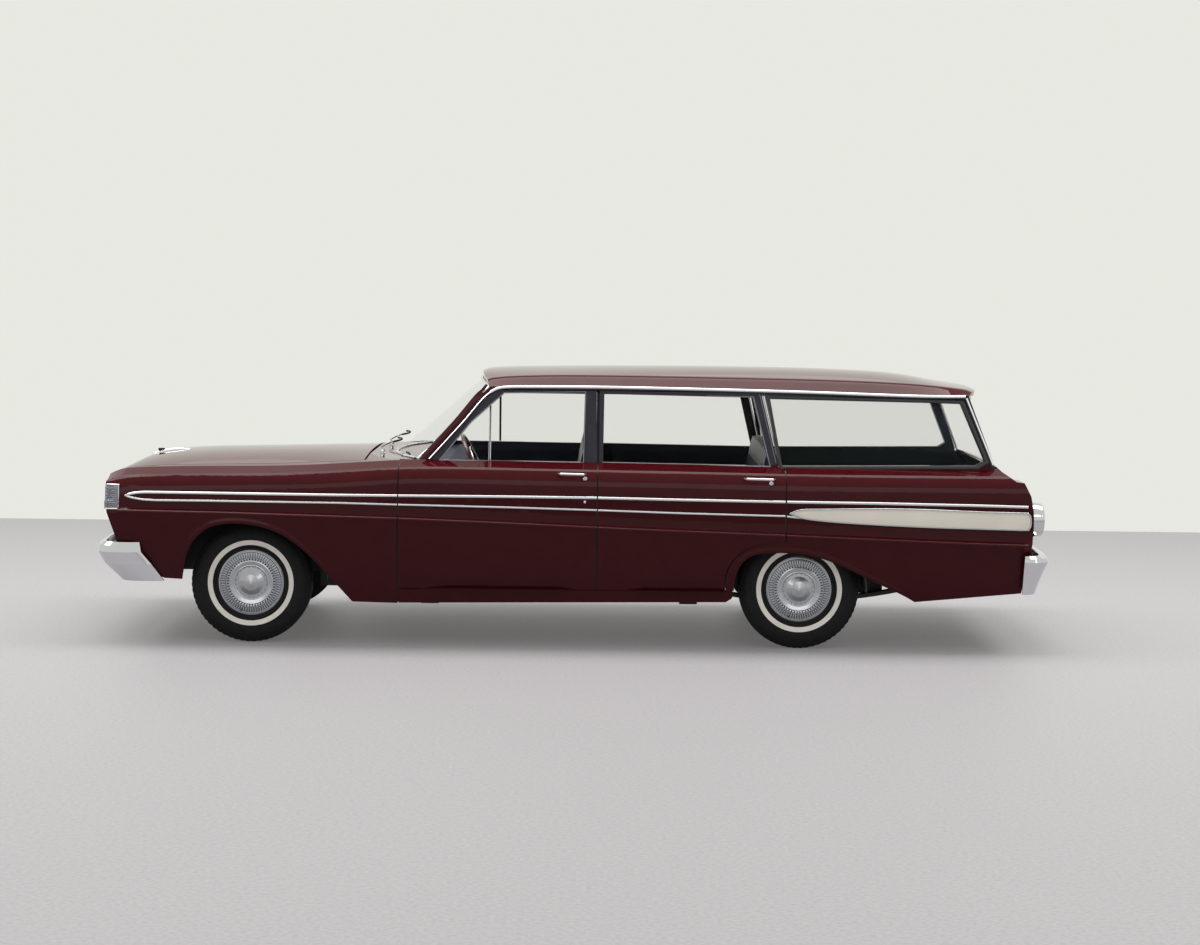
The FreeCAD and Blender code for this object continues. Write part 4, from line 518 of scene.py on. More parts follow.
def wheel_pieces(end, x, y):
    """Tyre and cover of an axle's wheels, outboard towards -Y on the left."""
    def spot(r, a, o):
        return Vector((x + r * sin(a), -y + o, HUB_Z + r * cos(a)))

    body = "wheel_%s_SIDE" % end
    outer = [(r, -o) for r, o in SIDEWALL]
    tread = []
    for start, stop in TREAD_BLOCKS:
        tread += [(0.3033 if abs(o) > 0.04 else 0.3045, -o) for o in (start, stop)]
        if stop > -0.05:
            tread += [(0.2985, -(stop - 0.0006)), (0.2985, -(stop - 0.0034))]
    profile = outer + tread + [(r, -o) for r, o in outer[::-1]] + [(0.1755, 0.045), (0.1755, -0.045)]
    verts = []
    for i in range(TYRE_STEPS):
        a = tau * i / TYRE_STEPS
        for r, o in profile:
            if 0.284 < r < 0.3 and 0.06 < abs(o) < 0.0715 and i % 2:
                r -= 0.0035
            if r > 0.3 and abs(o) > 0.04 and i % 3 == 0:
                r -= 0.004
            verts.append(spot(r, a, o))
    n = len(profile)
    made = pair("tyre_dress_" + end, (verts, quads(TYRE_STEPS, n)), [rubber, whitewall], body, sharp=28,
                indices=[1 if k in WHITE_ROWS else 0 for k in range(n)] * TYRE_STEPS)
    for obj, (side, _) in zip(made, SIDES):
        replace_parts(obj, "tyre_%s_%s" % (end, side))
    # Cover: bright outer rim, band of ribs, stepped dish, centre cone
    verts, n = [], len(COVER)
    for i in range(COVER_STEPS):
        a = tau * i / COVER_STEPS
        for k, (r, o) in enumerate(COVER):
            if 6 <= k <= 8:
                o += 0.0026 * (1 if i % 3 < 2 else -1.2)
            verts.append(spot(r, a, -o))
    faces = quads(COVER_STEPS, n, wrap=False) + [tuple(i * n + n - 1 for i in range(COVER_STEPS))]
    pair("wheel_cover_" + end, (verts, faces), silver, body, sharp=24)
    # Dark dots on the dish and dark slots around it
    verts, faces = [], []
    for number, ring_r, height, size, long in COVER_MARKS:
        for i in range(number):
            a = tau * (i + 0.5) / number
            c = spot(ring_r, a, -height)
            radial, around = Vector((sin(a), 0, cos(a))), Vector((cos(a), 0, -sin(a)))
            base = len(verts)
            for shrink, rise in ((1.0, 0.001), (0.85, -0.0011)):
                for c_k, s_k in DOT:
                    verts.append(c + around * size * shrink * c_k + radial * long * shrink * s_k
                                 + Vector((0, rise, 0)))
            faces += [tuple(base + v for v in face) for face in quads(2, 8, False) + caps(2, 8)[::-1]]
    pair("cover_dots_" + end, (verts, faces), black, body)
    # Dark band between tyre and cover, and the valve stem
    band = [(0.1615, -0.046), (0.164, -0.06), (0.169, -0.0635), (0.1775, -0.064), (0.1782, -0.046)]
    pair("rim_band_" + end, revolve(band, (x, -y, HUB_Z), 96), rubber, body)
    root = spot(0.15, radians(200), -0.062)
    stem = [root, root + Vector((0, -0.009, 0)), root + Vector((0, -0.0125, 0))]
    pair("valve_stem_" + end, tube(stem, 0.0036), rubber, body)


wheel_pieces("front", FX, 0.6985)
wheel_pieces("rear", RX, 0.711)


# Finishes of the CAD faces
def repaint(name, extra, choose):
    """Give some faces of a CAD node another finish; choose(centre, normal) is the slot number."""
    data = nodes[name].data
    for m in extra:
        data.materials.append(m)
    data.polygons.foreach_set("material_index", [choose(p.center, p.normal) for p in data.polygons])


def inward(c, n):
    return abs(c.y) < 0.8 and n.y * copysign(1, c.y) < -0.35


def door_finish(c, n):
    """Painted dark reflection on the frame above the belt, and vinyl on the inside."""
    if c.z > BELT + 0.0015:
        return 1
    return 2 if inward(c, n) and c.z < BELT else 0


def side_finish(c, n):
    """Vinyl on the inside, and painted dark reflection on the frames round the rear doors' and quarter glass.
    """
    if inward(c, n) and c.x > FD:
        return 2
    return 1 if c.z > BELT + 0.0015 and (c.x > RD - 0.2 or (c.x > SP - 0.2 and c.z < 1.298)) else 0


# Painted dark reflection on the frames above the belt, vinyl on the insides
for side, _ in SIDES:
    for panel in ("door_front_", "door_rear_", "body_side_"):
        repaint(panel + side, [frame_painted_reflection, vinyl], side_finish if panel == "body_side_" else door_finish)
TAIL_Y, TAIL_Z = 0.748, 0.672
repaint("floor_pan", [carpet],
        lambda c, n: 1 if n.z > 0.3 and abs(c.y) < 0.78 and FD < c.x < BR - 0.15 else 0)
repaint("tailgate", [vinyl], lambda c, n: 1 if n.x < -0.5 and c.x < BR - 0.03 else 0)
repaint("cowl", [chassis, vinyl], lambda c, n: 0 if c.z > BELT - 0.022 else (2 if n.x > 0.5 else 1))
repaint("front_lamps", [corner_lens], lambda c, n: 1 if abs(c.y) > 0.784 else 0)
repaint("tail_lamps", [chrome], lambda c, n: 1 if hypot(abs(c.y) - TAIL_Y, c.z - TAIL_Z) > 0.064 else 0)
repaint("body_glass", [tinted], lambda c, n: 1 if c.x > 0.5 else 0)
for name in ("front_lamps", "grille"):
    nodes[name].data.materials[0] = chrome

# Painted ridge and arch flares
RIDGE = [(-2.3, 0.6695), (-2.252, 0.669), (-1.754, 0.666), (-0.892, 0.649), (-0.35, 0.632), (0.224, 0.611),
         (1.058, 0.586), (1.53, 0.57), (2.029, 0.553), (2.29, 0.5455)]
RIDGE_PROFILE = ((-1.0, -0.6), (-1.0, 0.0), (-0.55, 0.3), (-0.1, 0.8), (0.08, 0.95), (0.25, 1.0),
                 (0.42, 0.9), (0.68, 0.45), (1.0, 0.04), (1.0, -0.6))
along_panels([("ridge", RIDGE, 0.0175, 0.0105)], material=paint, profile=RIDGE_PROFILE)
FRONT_ARCH = ((-0.32, 0.424), (-0.286, 0.512), (-0.238, 0.566), (-0.172, 0.604), (-0.071, 0.617),
              (0.036, 0.608), (0.143, 0.576), (0.237, 0.519), (0.345, 0.418), (0.42, 0.335))
REAR_ARCH = ((-0.33, 0.358), (-0.307, 0.428), (-0.246, 0.483), (-0.138, 0.5), (-0.015, 0.497),
             (0.109, 0.472), (0.226, 0.427), (0.382, 0.351), (0.522, 0.286))


def beside(points, distance):
    """Open polyline moved to its upper side."""
    out = []
    for i, p in enumerate(points):
        a, b = Vector(points[max(i - 1, 0)]), Vector(points[min(i + 1, len(points) - 1)])
        d = (b - a).normalized()
        out.append((p[0] - d.y * distance, p[1] + d.x * distance))
    return out


FLARE = ((-1.0, -0.6), (-1.0, 0.55), (-0.8, 0.9), (-0.4, 1.0), (0.1, 0.72), (0.6, 0.25), (1.0, 0.02),
         (1.0, -0.6))
for name, axle, arch in (("front", FX, FRONT_ARCH), ("rear", RX, REAR_ARCH)):
    line = smooth_path(beside([(axle + x, z) for x, z in arch], 0.0165), 5)
    moulding("flare_" + name, line, 0.0155, 0.008, "body", paint, step=None, profile=FLARE,
             taper=lambda t: min(1.0, 0.15 + 7 * t, 0.15 + 4 * (1 - t)))


# Roof skin over the CAD roof
def spline(points):
    """Catmull-Rom height along x through (x, z) points."""
    def value(x):
        last = len(points) - 2
        i = next((k for k in range(last + 1) if points[k + 1][0] >= x), last)
        i = max(1, min(last - 1, i))
        (xa, a), (xb, b), (xc, c), (xd, d) = points[i - 1:i + 3]
        t = (x - xb) / (xc - xb)
        m0, m1 = (c - a) / (xc - xa) * (xc - xb), (d - b) / (xd - xb) * (xc - xb)
        start = (2 * t ** 3 - 3 * t * t + 1) * b + (t ** 3 - 2 * t * t + t) * m0
        return start + (3 * t * t - 2 * t ** 3) * c + (t ** 3 - t * t) * m1
    return value


rail_top = spline([(FD + 0.3, 1.303), (FD + 0.404, 1.306), (FD + 0.7, 1.316), (FD + 1.111, 1.318),
                   (RX - 0.105, 1.308), (RX + 0.5, 1.296), (RX + 1.0, 1.292), (RX + 1.1, 1.291)])
roof_top = spline([(FD + 0.3, 1.35), (FD + 0.37, 1.366), (FD + 0.404, 1.38), (FD + 0.62, 1.391),
                   (RX - 0.7, 1.402), (RX, 1.401), (RX + 0.366, 1.391), (RX + 0.578, 1.376),
                   (RX + 0.791, 1.342), (RX + 0.975, 1.316), (RX + 1.1, 1.3)])
roof_crease = spline([(FD + 0.3, 1.336), (FD + 0.404, 1.346), (FD + 0.56, 1.362), (FD + 0.92, 1.371),
                      (RX - 0.1, 1.364), (RX + 0.405, 1.353), (RX + 0.69, 1.338), (RX + 0.975, 1.308),
                      (RX + 1.1, 1.295)])
ROOF_EDGE, CREASE_Y = 0.663, 0.6
ROOF_ROWS, ROOF_COLUMNS = 96, 64


def roof_z(x, y):
    """Height of the roof skin, with the crease rounded over."""
    crown, edge = roof_top(x), rail_top(x) + 0.0008
    crease = max(min(roof_crease(x), crown - 0.006), edge + 0.012)
    total = 0.0
    for shift in (-0.009, -0.0045, 0.0, 0.0045, 0.009):
        a = abs(y) + shift
        if a <= CREASE_Y:
            total += crown - (crown - crease) * (a / CREASE_Y) ** 2
        else:
            total += crease + (edge - crease) * (a - CREASE_Y) / (ROOF_EDGE - CREASE_Y)
    return total / 5


def roof_shape():
    """Closed shell of the roof and the material number of each of its faces, 1 for the lining."""
    outer, inner = [], []
    for i in range(ROOF_ROWS + 1):
        for k in range(ROOF_COLUMNS + 1):
            y = ROOF_EDGE * sin(pi / 2 * (2 * k / ROOF_COLUMNS - 1))
            front = FD + 0.3905 + 0.0645 * (y / 0.72) ** 2
            back = RX + 0.9595 - 0.1045 * (y / 0.72) ** 2 - 0.014 * (max(0.0, abs(y) - 0.5) / 0.16) ** 2
            x = front + (back - front) * (i / ROOF_ROWS)
            lip = max(0.0, 1 - (back - x) / 0.05) ** 2 * 0.01 + max(0.0, 1 - (x - front) / 0.03) ** 2 * 0.005
            z = max(roof_z(x, y) - lip, rail_top(x) + 0.0008)
            outer.append(Vector((x, y, z)))
            y_in = y * 0.945
            low = max(rail_top(x) - 0.012 if abs(y) > 0.6 else 0.0, min(z, roof_z(x, y_in)) - 0.022)
            inner.append(Vector((x, y_in, min(low, z - 0.0005))))
    row, half = ROOF_COLUMNS + 1, len(outer)
    faces, indices = [], []
    for i in range(ROOF_ROWS):
        for k in range(ROOF_COLUMNS):
            a = i * row + k
            faces.append((a, a + 1, a + row + 1, a + row))
            faces.append((half + a, half + a + row, half + a + row + 1, half + a + 1))
            indices += [0, 1]
    last = ROOF_ROWS * row
    border = list(range(row)) + [i * row + ROOF_COLUMNS for i in range(1, ROOF_ROWS + 1)]
    border += [last + k for k in range(ROOF_COLUMNS - 1, -1, -1)]
    border += [i * row for i in range(ROOF_ROWS - 1, 0, -1)]
    for a, b in zip(border, border[1:] + border[:1]):
        faces.append((a, b, half + b, half + a))
        indices.append(0)
    return (outer + inner, faces), indices


shape, indices = roof_shape()
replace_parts(link("roof_skin", shape, [paint, lining], indices=indices, sharp=40), "roof")


# Rails, pillars and window bars
def rail_plane(x, z):
    return frame_plane(x, z) - 0.004


DRIP = [(-0.736, 0.945), (-0.577, 1.122), (-0.478, 1.242), (-0.432, 1.283), (-0.394, 1.302), (-0.34, 1.309),
        (-0.232, 1.3115), (0.226, 1.313), (1.041, 1.303), (1.645, 1.289), (1.85, 1.2865), (1.985, 1.288)]
A_PILLAR = [(-0.762, 0.946), (-0.602, 1.125), (-0.503, 1.247), (-0.47, 1.279)]
VENT_BAR = [(-0.432, 0.942), (-0.43, 1.214)]
for name, line, half, proud, body, material in (
        ("drip_rail", smooth_path(DRIP[3:], 5), 0.0082, 0.0095, "body", chrome),
        ("pillar_rail", smooth_path(DRIP[:4], 6), 0.005, 0.0095, "door_front_SIDE", chrome),
        ("pillar_skin", smooth_path(A_PILLAR, 6), 0.02, 0.003, "door_front_SIDE", paint),
        ("drip_shadow", smooth_path([(x, z - 0.0105) for x, z in DRIP[5:]], 5), 0.0022, 0.003, "body",
         black)):
    moulding(name, line, half, proud, body, material, step=None, y_of=rail_plane)
REAR_PILLAR = [(1.9905, 1.28), (2.122, 0.946)]
moulding("rear_pillar_edge", REAR_PILLAR, 0.0052, 0.005, "body", step=0.05, y_of=frame_plane)
for name, x, lean, ends, half, body in (
        ("b_front", SP - 0.0085, 0, (0.945, 1.288), 0.0024, "door_front_SIDE"),
        ("b_rear", SP + 0.0105, 0, (0.945, 1.288), 0.0024, "door_rear_SIDE"),
        ("c_front", RD - 0.126, 0.084, (1.289, 0.945), 0.0022, "door_rear_SIDE"),
        ("c_rear", RD - 0.1015, 0.084, (1.289, 0.945), 0.0022, "body"),
        ("c_mid", RD - 0.112, 0.084, (1.289, 0.945), 0.0022, "body")):
    line = [(x, ends[0]), (x + lean, ends[1])]
    moulding("pillar_edge_" + name, line, half, 0.0035, body, fine_line, "chrome_trim", step=0.05,
             y_of=frame_plane)
for name, half, proud, material in (("vent_bar", 0.0058, 0.004, anodised),
                                    ("vent_bar_core", 0.0034, 0.0055, black)):
    moulding(name, VENT_BAR, half, proud, "door_front_SIDE", material, step=0.05,
             y_of=lambda x, z: frame_plane(x, z) + 0.0125)

# Seals behind the shut lines, and the painted one over the sill
DOGLEG = [(RD + 0.004, 0.908), (RD + 0.004, 0.566), (RD - 0.104, 0.5535), (RD - 0.206, 0.5155),
          (RD - 0.263, 0.4675), (RD - 0.301, 0.394), (RD - 0.304, 0.3)]
for name, line, half, deep, material in (
        ("front", [(FD, 0.935), (FD, 0.221)], 0.0095, 0.0135, black),
        ("split", [(SP, 0.935), (SP, 0.3)], 0.0095, 0.0135, black),
        ("dogleg", DOGLEG, 0.0095, 0.0135, black),
        ("sill", [(FD + 0.008, 0.2955), (RD - 0.3, 0.2955)], 0.0045, 0.0045, paint)):
    moulding("seal_" + name, line, half, 0.002, "body", material, step=0.03,
             y_of=lambda x, z: skin_y(x, z) + deep)


# Bright surrounds of the windshield and the tailgate glass
def bow(end_x, mid_x, half, end_z, mid_z, count):
    """Circle arc in plan from y = -half to half, with z run along it."""
    radius = ((end_x - mid_x) ** 2 + half ** 2) / (2 * abs(end_x - mid_x))
    sign = 1 if mid_x > end_x else -1
    out = []
    for i in range(count + 1):
        s = 2 * i / count - 1
        x = mid_x - sign * (radius - sqrt(radius ** 2 - (half * s) ** 2))
        out.append(Vector((x, half * s, end_z + (mid_z - end_z) * (1 - s ** 2))))
    return out


def pane_ring(low, high, low_shift, high_shift):
    """Closed line round a pane, from its lower and upper edges."""
    rise, fall = ([a.lerp(b, t / 8) for t in range(1, 8)] for a, b in
                  ((low[-1], high[0]), (high[-1], low[0])))
    return [p + Vector(low_shift) for p in low] + rise + [p + Vector(high_shift) for p in high] + fall


ring = pane_ring(bow(FD + 0.092, FD - 0.064, 0.656, 0.937, 0.937, 36),
                 bow(FD + 0.455, FD + 0.39, -0.59, 1.313, 1.337, 36), (-0.004, 0, 0.003), (-0.006, 0, -0.001))
surround = sweep(tube_frames(ring, True), ring_profile(0.0085, 12, 0.0065), True)
link("windshield_surround", surround, chrome)
GX = BR + 0.013
ring = pane_ring(bow(GX - 0.206, GX - 0.178, 0.604, 0.932, 0.932, 24),
                 bow(RX + 0.858, RX + 0.938, -0.566, 1.256, 1.262, 24), (0, 0, 0), (0, 0, 0))
ring = [p + Vector((0.006, 0, 0)) for p in ring]
link("tailgate_glass_edge", sweep(tube_frames(ring, True), ring_profile(0.0062), True), chrome, "tailgate")

# Dark inner panels seen through the wheel arches
PANEL_Y = 0.5
for side, sign in SIDES:
    for name, x0, x1, z0, z1 in (("front", -1.312, -1.13, 0.262, 0.6), ("rear", 1.455, 1.6, 0.256, 0.46)):
        panel = block(x0, x1, PANEL_Y * sign - 0.003, PANEL_Y * sign + 0.003, z0, z1, 0.001, 1)
        link("inner_panel_%s_%s" % (name, side), panel, chassis)


# Door handles with their buttons and the front doors' locks
def handle(name, x0, x1, z, button_x, button_z, body):
    y0, y1 = skin_y(x0, z), skin_y(x1, z)
    path = [(x0, y0 + 0.004, z), (x0 + 0.003, y0 - 0.012, z), (x0 + 0.012, y0 - 0.024, z + 0.001)]
    for i in range(1, 12):
        t = i / 12
        x = x0 + 0.012 + (x1 - x0 - 0.024) * t
        path.append((x, y0 + (y1 - y0) * t - 0.026 - 0.003 * sin(pi * t), z + 0.001 - 0.002 * t))
    path += [(x1 - dx, y1 + dy, z - 0.001) for dx, dy in ((0.01, -0.024), (0.002, -0.012), (0.0, 0.004))]
    pair("handle_" + name, sweep(tube_frames(path), ring_profile(0.0062, 12, 0.0046)), chrome, body)
    round_parts = [("button", button_z, 0.0105, 0.016)]
    if name == "front":
        round_parts.append(("lock", button_z - 0.116, 0.0065, 0.004))
    for part, part_z, r, deep in round_parts:
        profile = [(0.0001, -deep), (r * 0.55, -deep), (r * 0.8, -deep * 0.86), (r * 0.84, -deep * 0.3),
                   (r, -deep * 0.22), (r, 0.004), (0.0001, 0.004)]
        place = (button_x, skin_y(button_x, part_z), part_z)
        pair("handle_%s_%s" % (name, part), revolve(profile, place, 24), chrome, body)


handle("front", -0.081, 0.058, 0.884, 0.054, 0.862, "door_front_SIDE")
handle("rear", 0.855, 1.009, 0.87, 0.99, 0.849, "door_rear_SIDE")

# Corner lamps, headlamps, tail lamps
moulding("corner_lamp_frame", [(-2.357, 0.6815), (-2.2945, 0.6815), (-2.2935, 0.683), (-2.2935, 0.7995),
                               (-2.2945, 0.801), (-2.357, 0.801)], 0.0036, 0.0055, "body", step=None)
for i in range(11):
    z = 0.6905 + 0.0101 * i
    moulding("corner_lamp_rib_%02d" % i, [(-2.3575, z), (-2.2975, z)], 0.0022, 0.003, "body", fine_line)
LAMP_X, LAMP_Z = BF + 0.07, 0.736
BEZEL = [(0.0665, -0.0165), (0.069, -0.0215), (0.074, -0.0235), (0.0785, -0.0195), (0.0805, -0.0105),
         (0.08, 0.004), (0.0765, 0.004), (0.0665, -0.008)]
LENS = [(0.0001, -0.0425), (0.018, -0.0418), (0.036, -0.039), (0.052, -0.0325), (0.0625, -0.024),
        (0.0662, -0.0175), (0.064, -0.0165), (0.05, -0.029), (0.034, -0.037), (0.0001, -0.0398)]
for index, y in enumerate((0.687, 0.517)):
    for name, profile, material in (("bezel", BEZEL, chrome), ("lens", LENS, clear_lens)):
        shape = revolve(profile, (LAMP_X, -y, LAMP_Z), 72, "X")
        pair("headlamp_%s_%d" % (name, index), shape, material)
TAIL_BEZEL = [(0.0635, 0.04), (0.0665, 0.0485), (0.075, 0.0565), (0.083, 0.048), (0.0865, 0.03),
              (0.0885, 0.004), (0.08, 0.004), (0.064, 0.028)]
TAIL_CENTRE = [(0.0001, 0.05), (0.0055, 0.0495), (0.0085, 0.0475), (0.0095, 0.042), (0.0001, 0.042)]
for name, profile, count in (("bezel", TAIL_BEZEL, 72), ("centre", TAIL_CENTRE, 32)):
    pair("tail_lamp_" + name, revolve(profile, (BR - 0.0025, -TAIL_Y, TAIL_Z), count, "X"), chrome)

# Hood spear and wipers
NOSE = tree_of(["hood", "cowl"])


def top_z(x, y):
    hit = NOSE.ray_cast(Vector((x, y, 2.0)), Vector((0, 0, -1)))
    return hit[0].z if hit[0] is not None else 0.94


SPEAR_ROWS, SPEAR_COUNT = 21, 12
verts = []
for i in range(SPEAR_ROWS):
    t = i / (SPEAR_ROWS - 1)
    x = -2.256 + 0.188 * t
    w = 0.0125 * sin(pi * min(1.0, 0.08 + t * 0.92)) ** 0.6 + 0.001
    h = 0.004 + 0.0115 * sin(pi * min(0.97, 0.05 + t)) ** 0.8
    base = top_z(x, 0)
    for c, s in ring_profile(1, SPEAR_COUNT):
        verts.append(Vector((x, w * c, base - 0.001 + h * max(-0.2, s))))
faces = quads(SPEAR_ROWS, SPEAR_COUNT, False) + caps(SPEAR_ROWS, SPEAR_COUNT)
link("hood_spear", (verts, faces), chrome, "hood", sharp=50)
base = top_z(-2.22, 0)
dark = block(-2.237, -2.203, -0.009, 0.009, base + 0.008, base + 0.0215, 0.004)
link("hood_spear_block", dark, black, "hood")
PIVOT = [(0.0001, -0.013), (0.008, -0.012), (0.0115, -0.004), (0.012, 0.012), (0.0001, 0.012)]
for side, sign in SIDES:
    px, py = -1.01, -0.3 * sign
    base = top_z(px, py)
    arm = [(px, py, base - 0.002), (px, py, base + 0.022), (px - 0.006, py, base + 0.034),
           (px + 0.02, py + 0.05, base + 0.046), (px + 0.055, py + 0.13, base + 0.058),
           (px + 0.082, py + 0.2, base + 0.06)]
    link("wiper_arm_" + side, tube(arm, 0.0042, 8), chrome)
    pivot = (px, py, base + 0.01)
    verts, faces = revolve(PIVOT, pivot, 24)
    for q in verts:
        d = q - Vector(pivot)
        q.y, q.z = py + d.z, pivot[2] - d.y
    link("wiper_pivot_" + side, (verts, faces), chrome)
    blade = []
    for i in range(15):
        off = abs(2 * i / 14 - 1)
        x = px + 0.052 + 0.034 * (1 - off ** 2)
        blade.append((x, py + 0.045 + 0.32 * i / 14, base + 0.062 - 0.004 * off))
    rail = [(-0.0025, -0.004), (0.0025, -0.004), (0.0018, 0.005), (-0.0018, 0.005)]
    link("wiper_blade_" + side, sweep(tube_frames(blade), rail), rubber)

# Seats
SEAT_HALF, SEAT_ROWS, CHANNEL, GREY_ABOVE = 0.585, 133, 0.098, 0.9


def cushion(name, profile, replaced=None, back=False):
    """Bench cushion: closed (x, z) profile carried across the car, crowned between sewn channels."""
    n = len(profile)
    ring = []
    for i in range(n):
        corners = [Vector(profile[(i + k) % n]) for k in (-1, 0, 1, 2)]
        ring += [curve_point(*corners, k / 6) for k in range(6)]
    centre = sum(ring, Vector((0, 0))) / len(ring)
    verts = []
    m = len(ring)
    for i in range(SEAT_ROWS):
        s = i / (SEAT_ROWS - 1)
        y = -SEAT_HALF + 2 * SEAT_HALF * s
        edge = min(s, 1 - s) * 2 * SEAT_HALF
        pull = 0.03 * max(0.0, 1 - edge / 0.045) ** 2
        wave = abs(sin(pi * y / CHANNEL + pi / 2))
        groove = -0.0065 * (1 - wave) ** 3 + 0.0022 * wave
        for p in ring:
            out = (p - centre).normalized()
            facing = max(0.0, -out.x * 0.9 + out.y * 0.4) if back else max(0.0, out.y)
            crumple = 0.0012 * noise.noise(Vector((p.x * 9, y * 9, p.y * 9)))
            q = p + out * (groove * min(1.0, facing * 2.2) - pull + crumple)
            verts.append(Vector((q.x, y, q.y)))
    grey = [1 if back and v.z > GREY_ABOVE else 0 for v in verts[:(SEAT_ROWS - 1) * m]]
    shape = (verts, quads(SEAT_ROWS, m, False) + caps(SEAT_ROWS, m))
    piece = link(name, shape, [vinyl, grey_vinyl], indices=grey + [0, 0], sharp=60)
    if replaced:
        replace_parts(piece, replaced)
    # Piping along both long edges
    for tag, pick in (("front", min(range(m), key=lambda k: ring[k].x - ring[k].y * 0.6)),
                      ("rear", max(range(m), key=lambda k: ring[k].x + ring[k].y * 0.6))):
        out = (ring[pick] - centre).normalized()
        proud = Vector((out.x * 0.001, 0, out.y * 0.001))
        line = [verts[i * m + pick] + proud for i in range(2, SEAT_ROWS - 2, 2)]
        link(name + "_piping_" + tag, tube(line, 0.0032, 6), grey_vinyl)


CUSHION_FRONT = ((-0.555, 0.405), (-0.566, 0.47), (-0.525, 0.514), (-0.33, 0.522), (-0.18, 0.505),
                 (-0.175, 0.4))
BACK_FRONT = ((-0.162, 0.46), (-0.13, 0.72), (-0.086, 0.975), (-0.06, 1.002), (-0.026, 0.985),
              (-0.022, 0.72), (-0.022, 0.46))
CUSHION_REAR = ((-0.618, 0.49), (-0.625, 0.556), (-0.586, 0.596), (-0.4, 0.59), (-0.262, 0.572),
                (-0.255, 0.49))
BACK_REAR = ((-0.25, 0.56), (-0.205, 0.8), (-0.17, 0.975), (-0.146, 0.998), (-0.112, 0.985), (-0.115, 0.8),
             (-0.118, 0.61), (-0.19, 0.61))
for name, foot, base_line, back_line in (("front_seat", SP, CUSHION_FRONT, BACK_FRONT),
                                         ("rear_seat", RX, CUSHION_REAR, BACK_REAR)):
    cushion(name + "_cushion", [(foot + x, z) for x, z in base_line], name)
    cushion(name + "_back", [(foot + x, z) for x, z in back_line], back=True)
for y in (-0.5, -0.22, 0.22, 0.5):
    number = round(y * 100 + 100)
    rail = block(SP - 0.5, SP - 0.08, y - 0.018, y + 0.018, 0.2625, 0.285, 0.004)
    link("seat_rail_%d" % number, rail, steel)
    for tag, x in (("a", SP - 0.46), ("b", SP - 0.16)):
        leg = block(x - 0.02, x + 0.02, y - 0.012, y + 0.012, 0.283, 0.43, 0.005)
        link("seat_leg_%d%s" % (number, tag), leg, steel)

# Steering wheel and instruments
COLUMN_END = Matrix.Translation((FD + 0.381, -0.38, 0.863)) @ Matrix.Rotation(radians(65.0), 4, "Y")
UP = Vector((0, 0, 1))


def on_column(name, shape, material):
    """Piece of the steering wheel, modelled flat about the origin."""
    return link(name, ([COLUMN_END @ Vector(v) for v in shape[0]], shape[1]), material, "steering_wheel")


RIM_RADIUS, RIM_THICK, RIM_STEPS, RIM_COUNT = 0.194, 0.0105, 96, 12
verts = []
for i in range(RIM_STEPS):
    a = tau * i / RIM_STEPS
    for k in range(RIM_COUNT):
        b = tau * k / RIM_COUNT
        r = RIM_RADIUS + (RIM_THICK + 0.0006 * cos(24 * a) * (cos(b) < 0)) * cos(b)
        verts.append(Vector((r * cos(a), r * sin(a), RIM_THICK * sin(b))))
rim = on_column("steering_rim", (verts, quads(RIM_STEPS, RIM_COUNT)), maroon_plastic)
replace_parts(rim, "steering_wheel")
SPOKE = [(-0.012, -0.003), (0.012, -0.003), (0.009, 0.004), (-0.009, 0.004)]
for index, degrees in enumerate((90, 210, 330)):
    a = radians(degrees)
    out, across = Vector((cos(a), sin(a), 0)), Vector((-sin(a), cos(a), 0))
    path = [(out * r + Vector((0, 0, z)), across, UP)
            for r, z in ((0.02, -0.012), (0.06, -0.01), (0.12, -0.006), (0.17, -0.002), (0.192, 0.0))]
    on_column("steering_spoke_%d" % index, sweep(path, SPOKE), maroon_plastic)
path = []
for x, y in ring_profile(0.128, 60):
    path.append((Vector((x, y, 0.01)), Vector((x, y, 0)).normalized(), UP))
on_column("horn_ring", sweep(path, ring_profile(0.0036, 8), True), chrome)
HUB = [(0.0001, 0.012), (0.018, 0.011), (0.029, 0.006), (0.034, -0.004), (0.034, -0.034), (0.0001, -0.034)]
verts, faces = revolve(HUB, (0, 0, 0), 36)
on_column("steering_hub", ([Vector((q.x, q.z, q.y)) for q in verts], faces), maroon_plastic)
DASH = FD + 0.319
KNOB = [(0.0001, 0.006), (0.009, 0.005), (0.011, -0.002), (0.011, -0.008), (0.0001, -0.008)]
for name, corners, bevel, material in (
        ("instrument_bezel", (DASH - 0.004, DASH + 0.006, -0.6, -0.16, 0.79, 0.872), 0.006, anodised),
        ("instrument_face", (DASH + 0.002, DASH + 0.0075, -0.585, -0.175, 0.798, 0.864), 0.002, black)):
    link(name, block(*corners, bevel), material)
for i in range(4):
    link("dash_knob_%d" % i, revolve(KNOB, (DASH + 0.008, -0.08 + 0.075 * i, 0.83), 24, "X"), chrome)
link("mirror", block(-0.505, -0.485, -0.095, 0.095, 1.195, 1.245, 0.008), black)
link("mirror_stem", tube([(-0.494, 0, 1.24), (-0.47, 0, 1.29), (-0.44, 0, 1.345)], 0.005), chrome)

# Tailgate trim and blank plate
TAILGATE = tree_of(["tailgate"])


def across_strip(name, z, half, proud, y_end):
    """Bright strip across the tailgate's skin."""
    path = []
    for i in range(41):
        y = -y_end + 2 * y_end * i / 40
        hit = TAILGATE.ray_cast(Vector((3.0, y, z)), Vector((-1, 0, 0)))
        x = hit[0].x if hit[0] is not None else GX - 0.02
        path.append((Vector((x, y, z)), UP, Vector((1, 0, 0))))
    link(name, sweep(path, [(a * half, o * proud) for a, o in HALF_ROUND]), chrome, "tailgate")


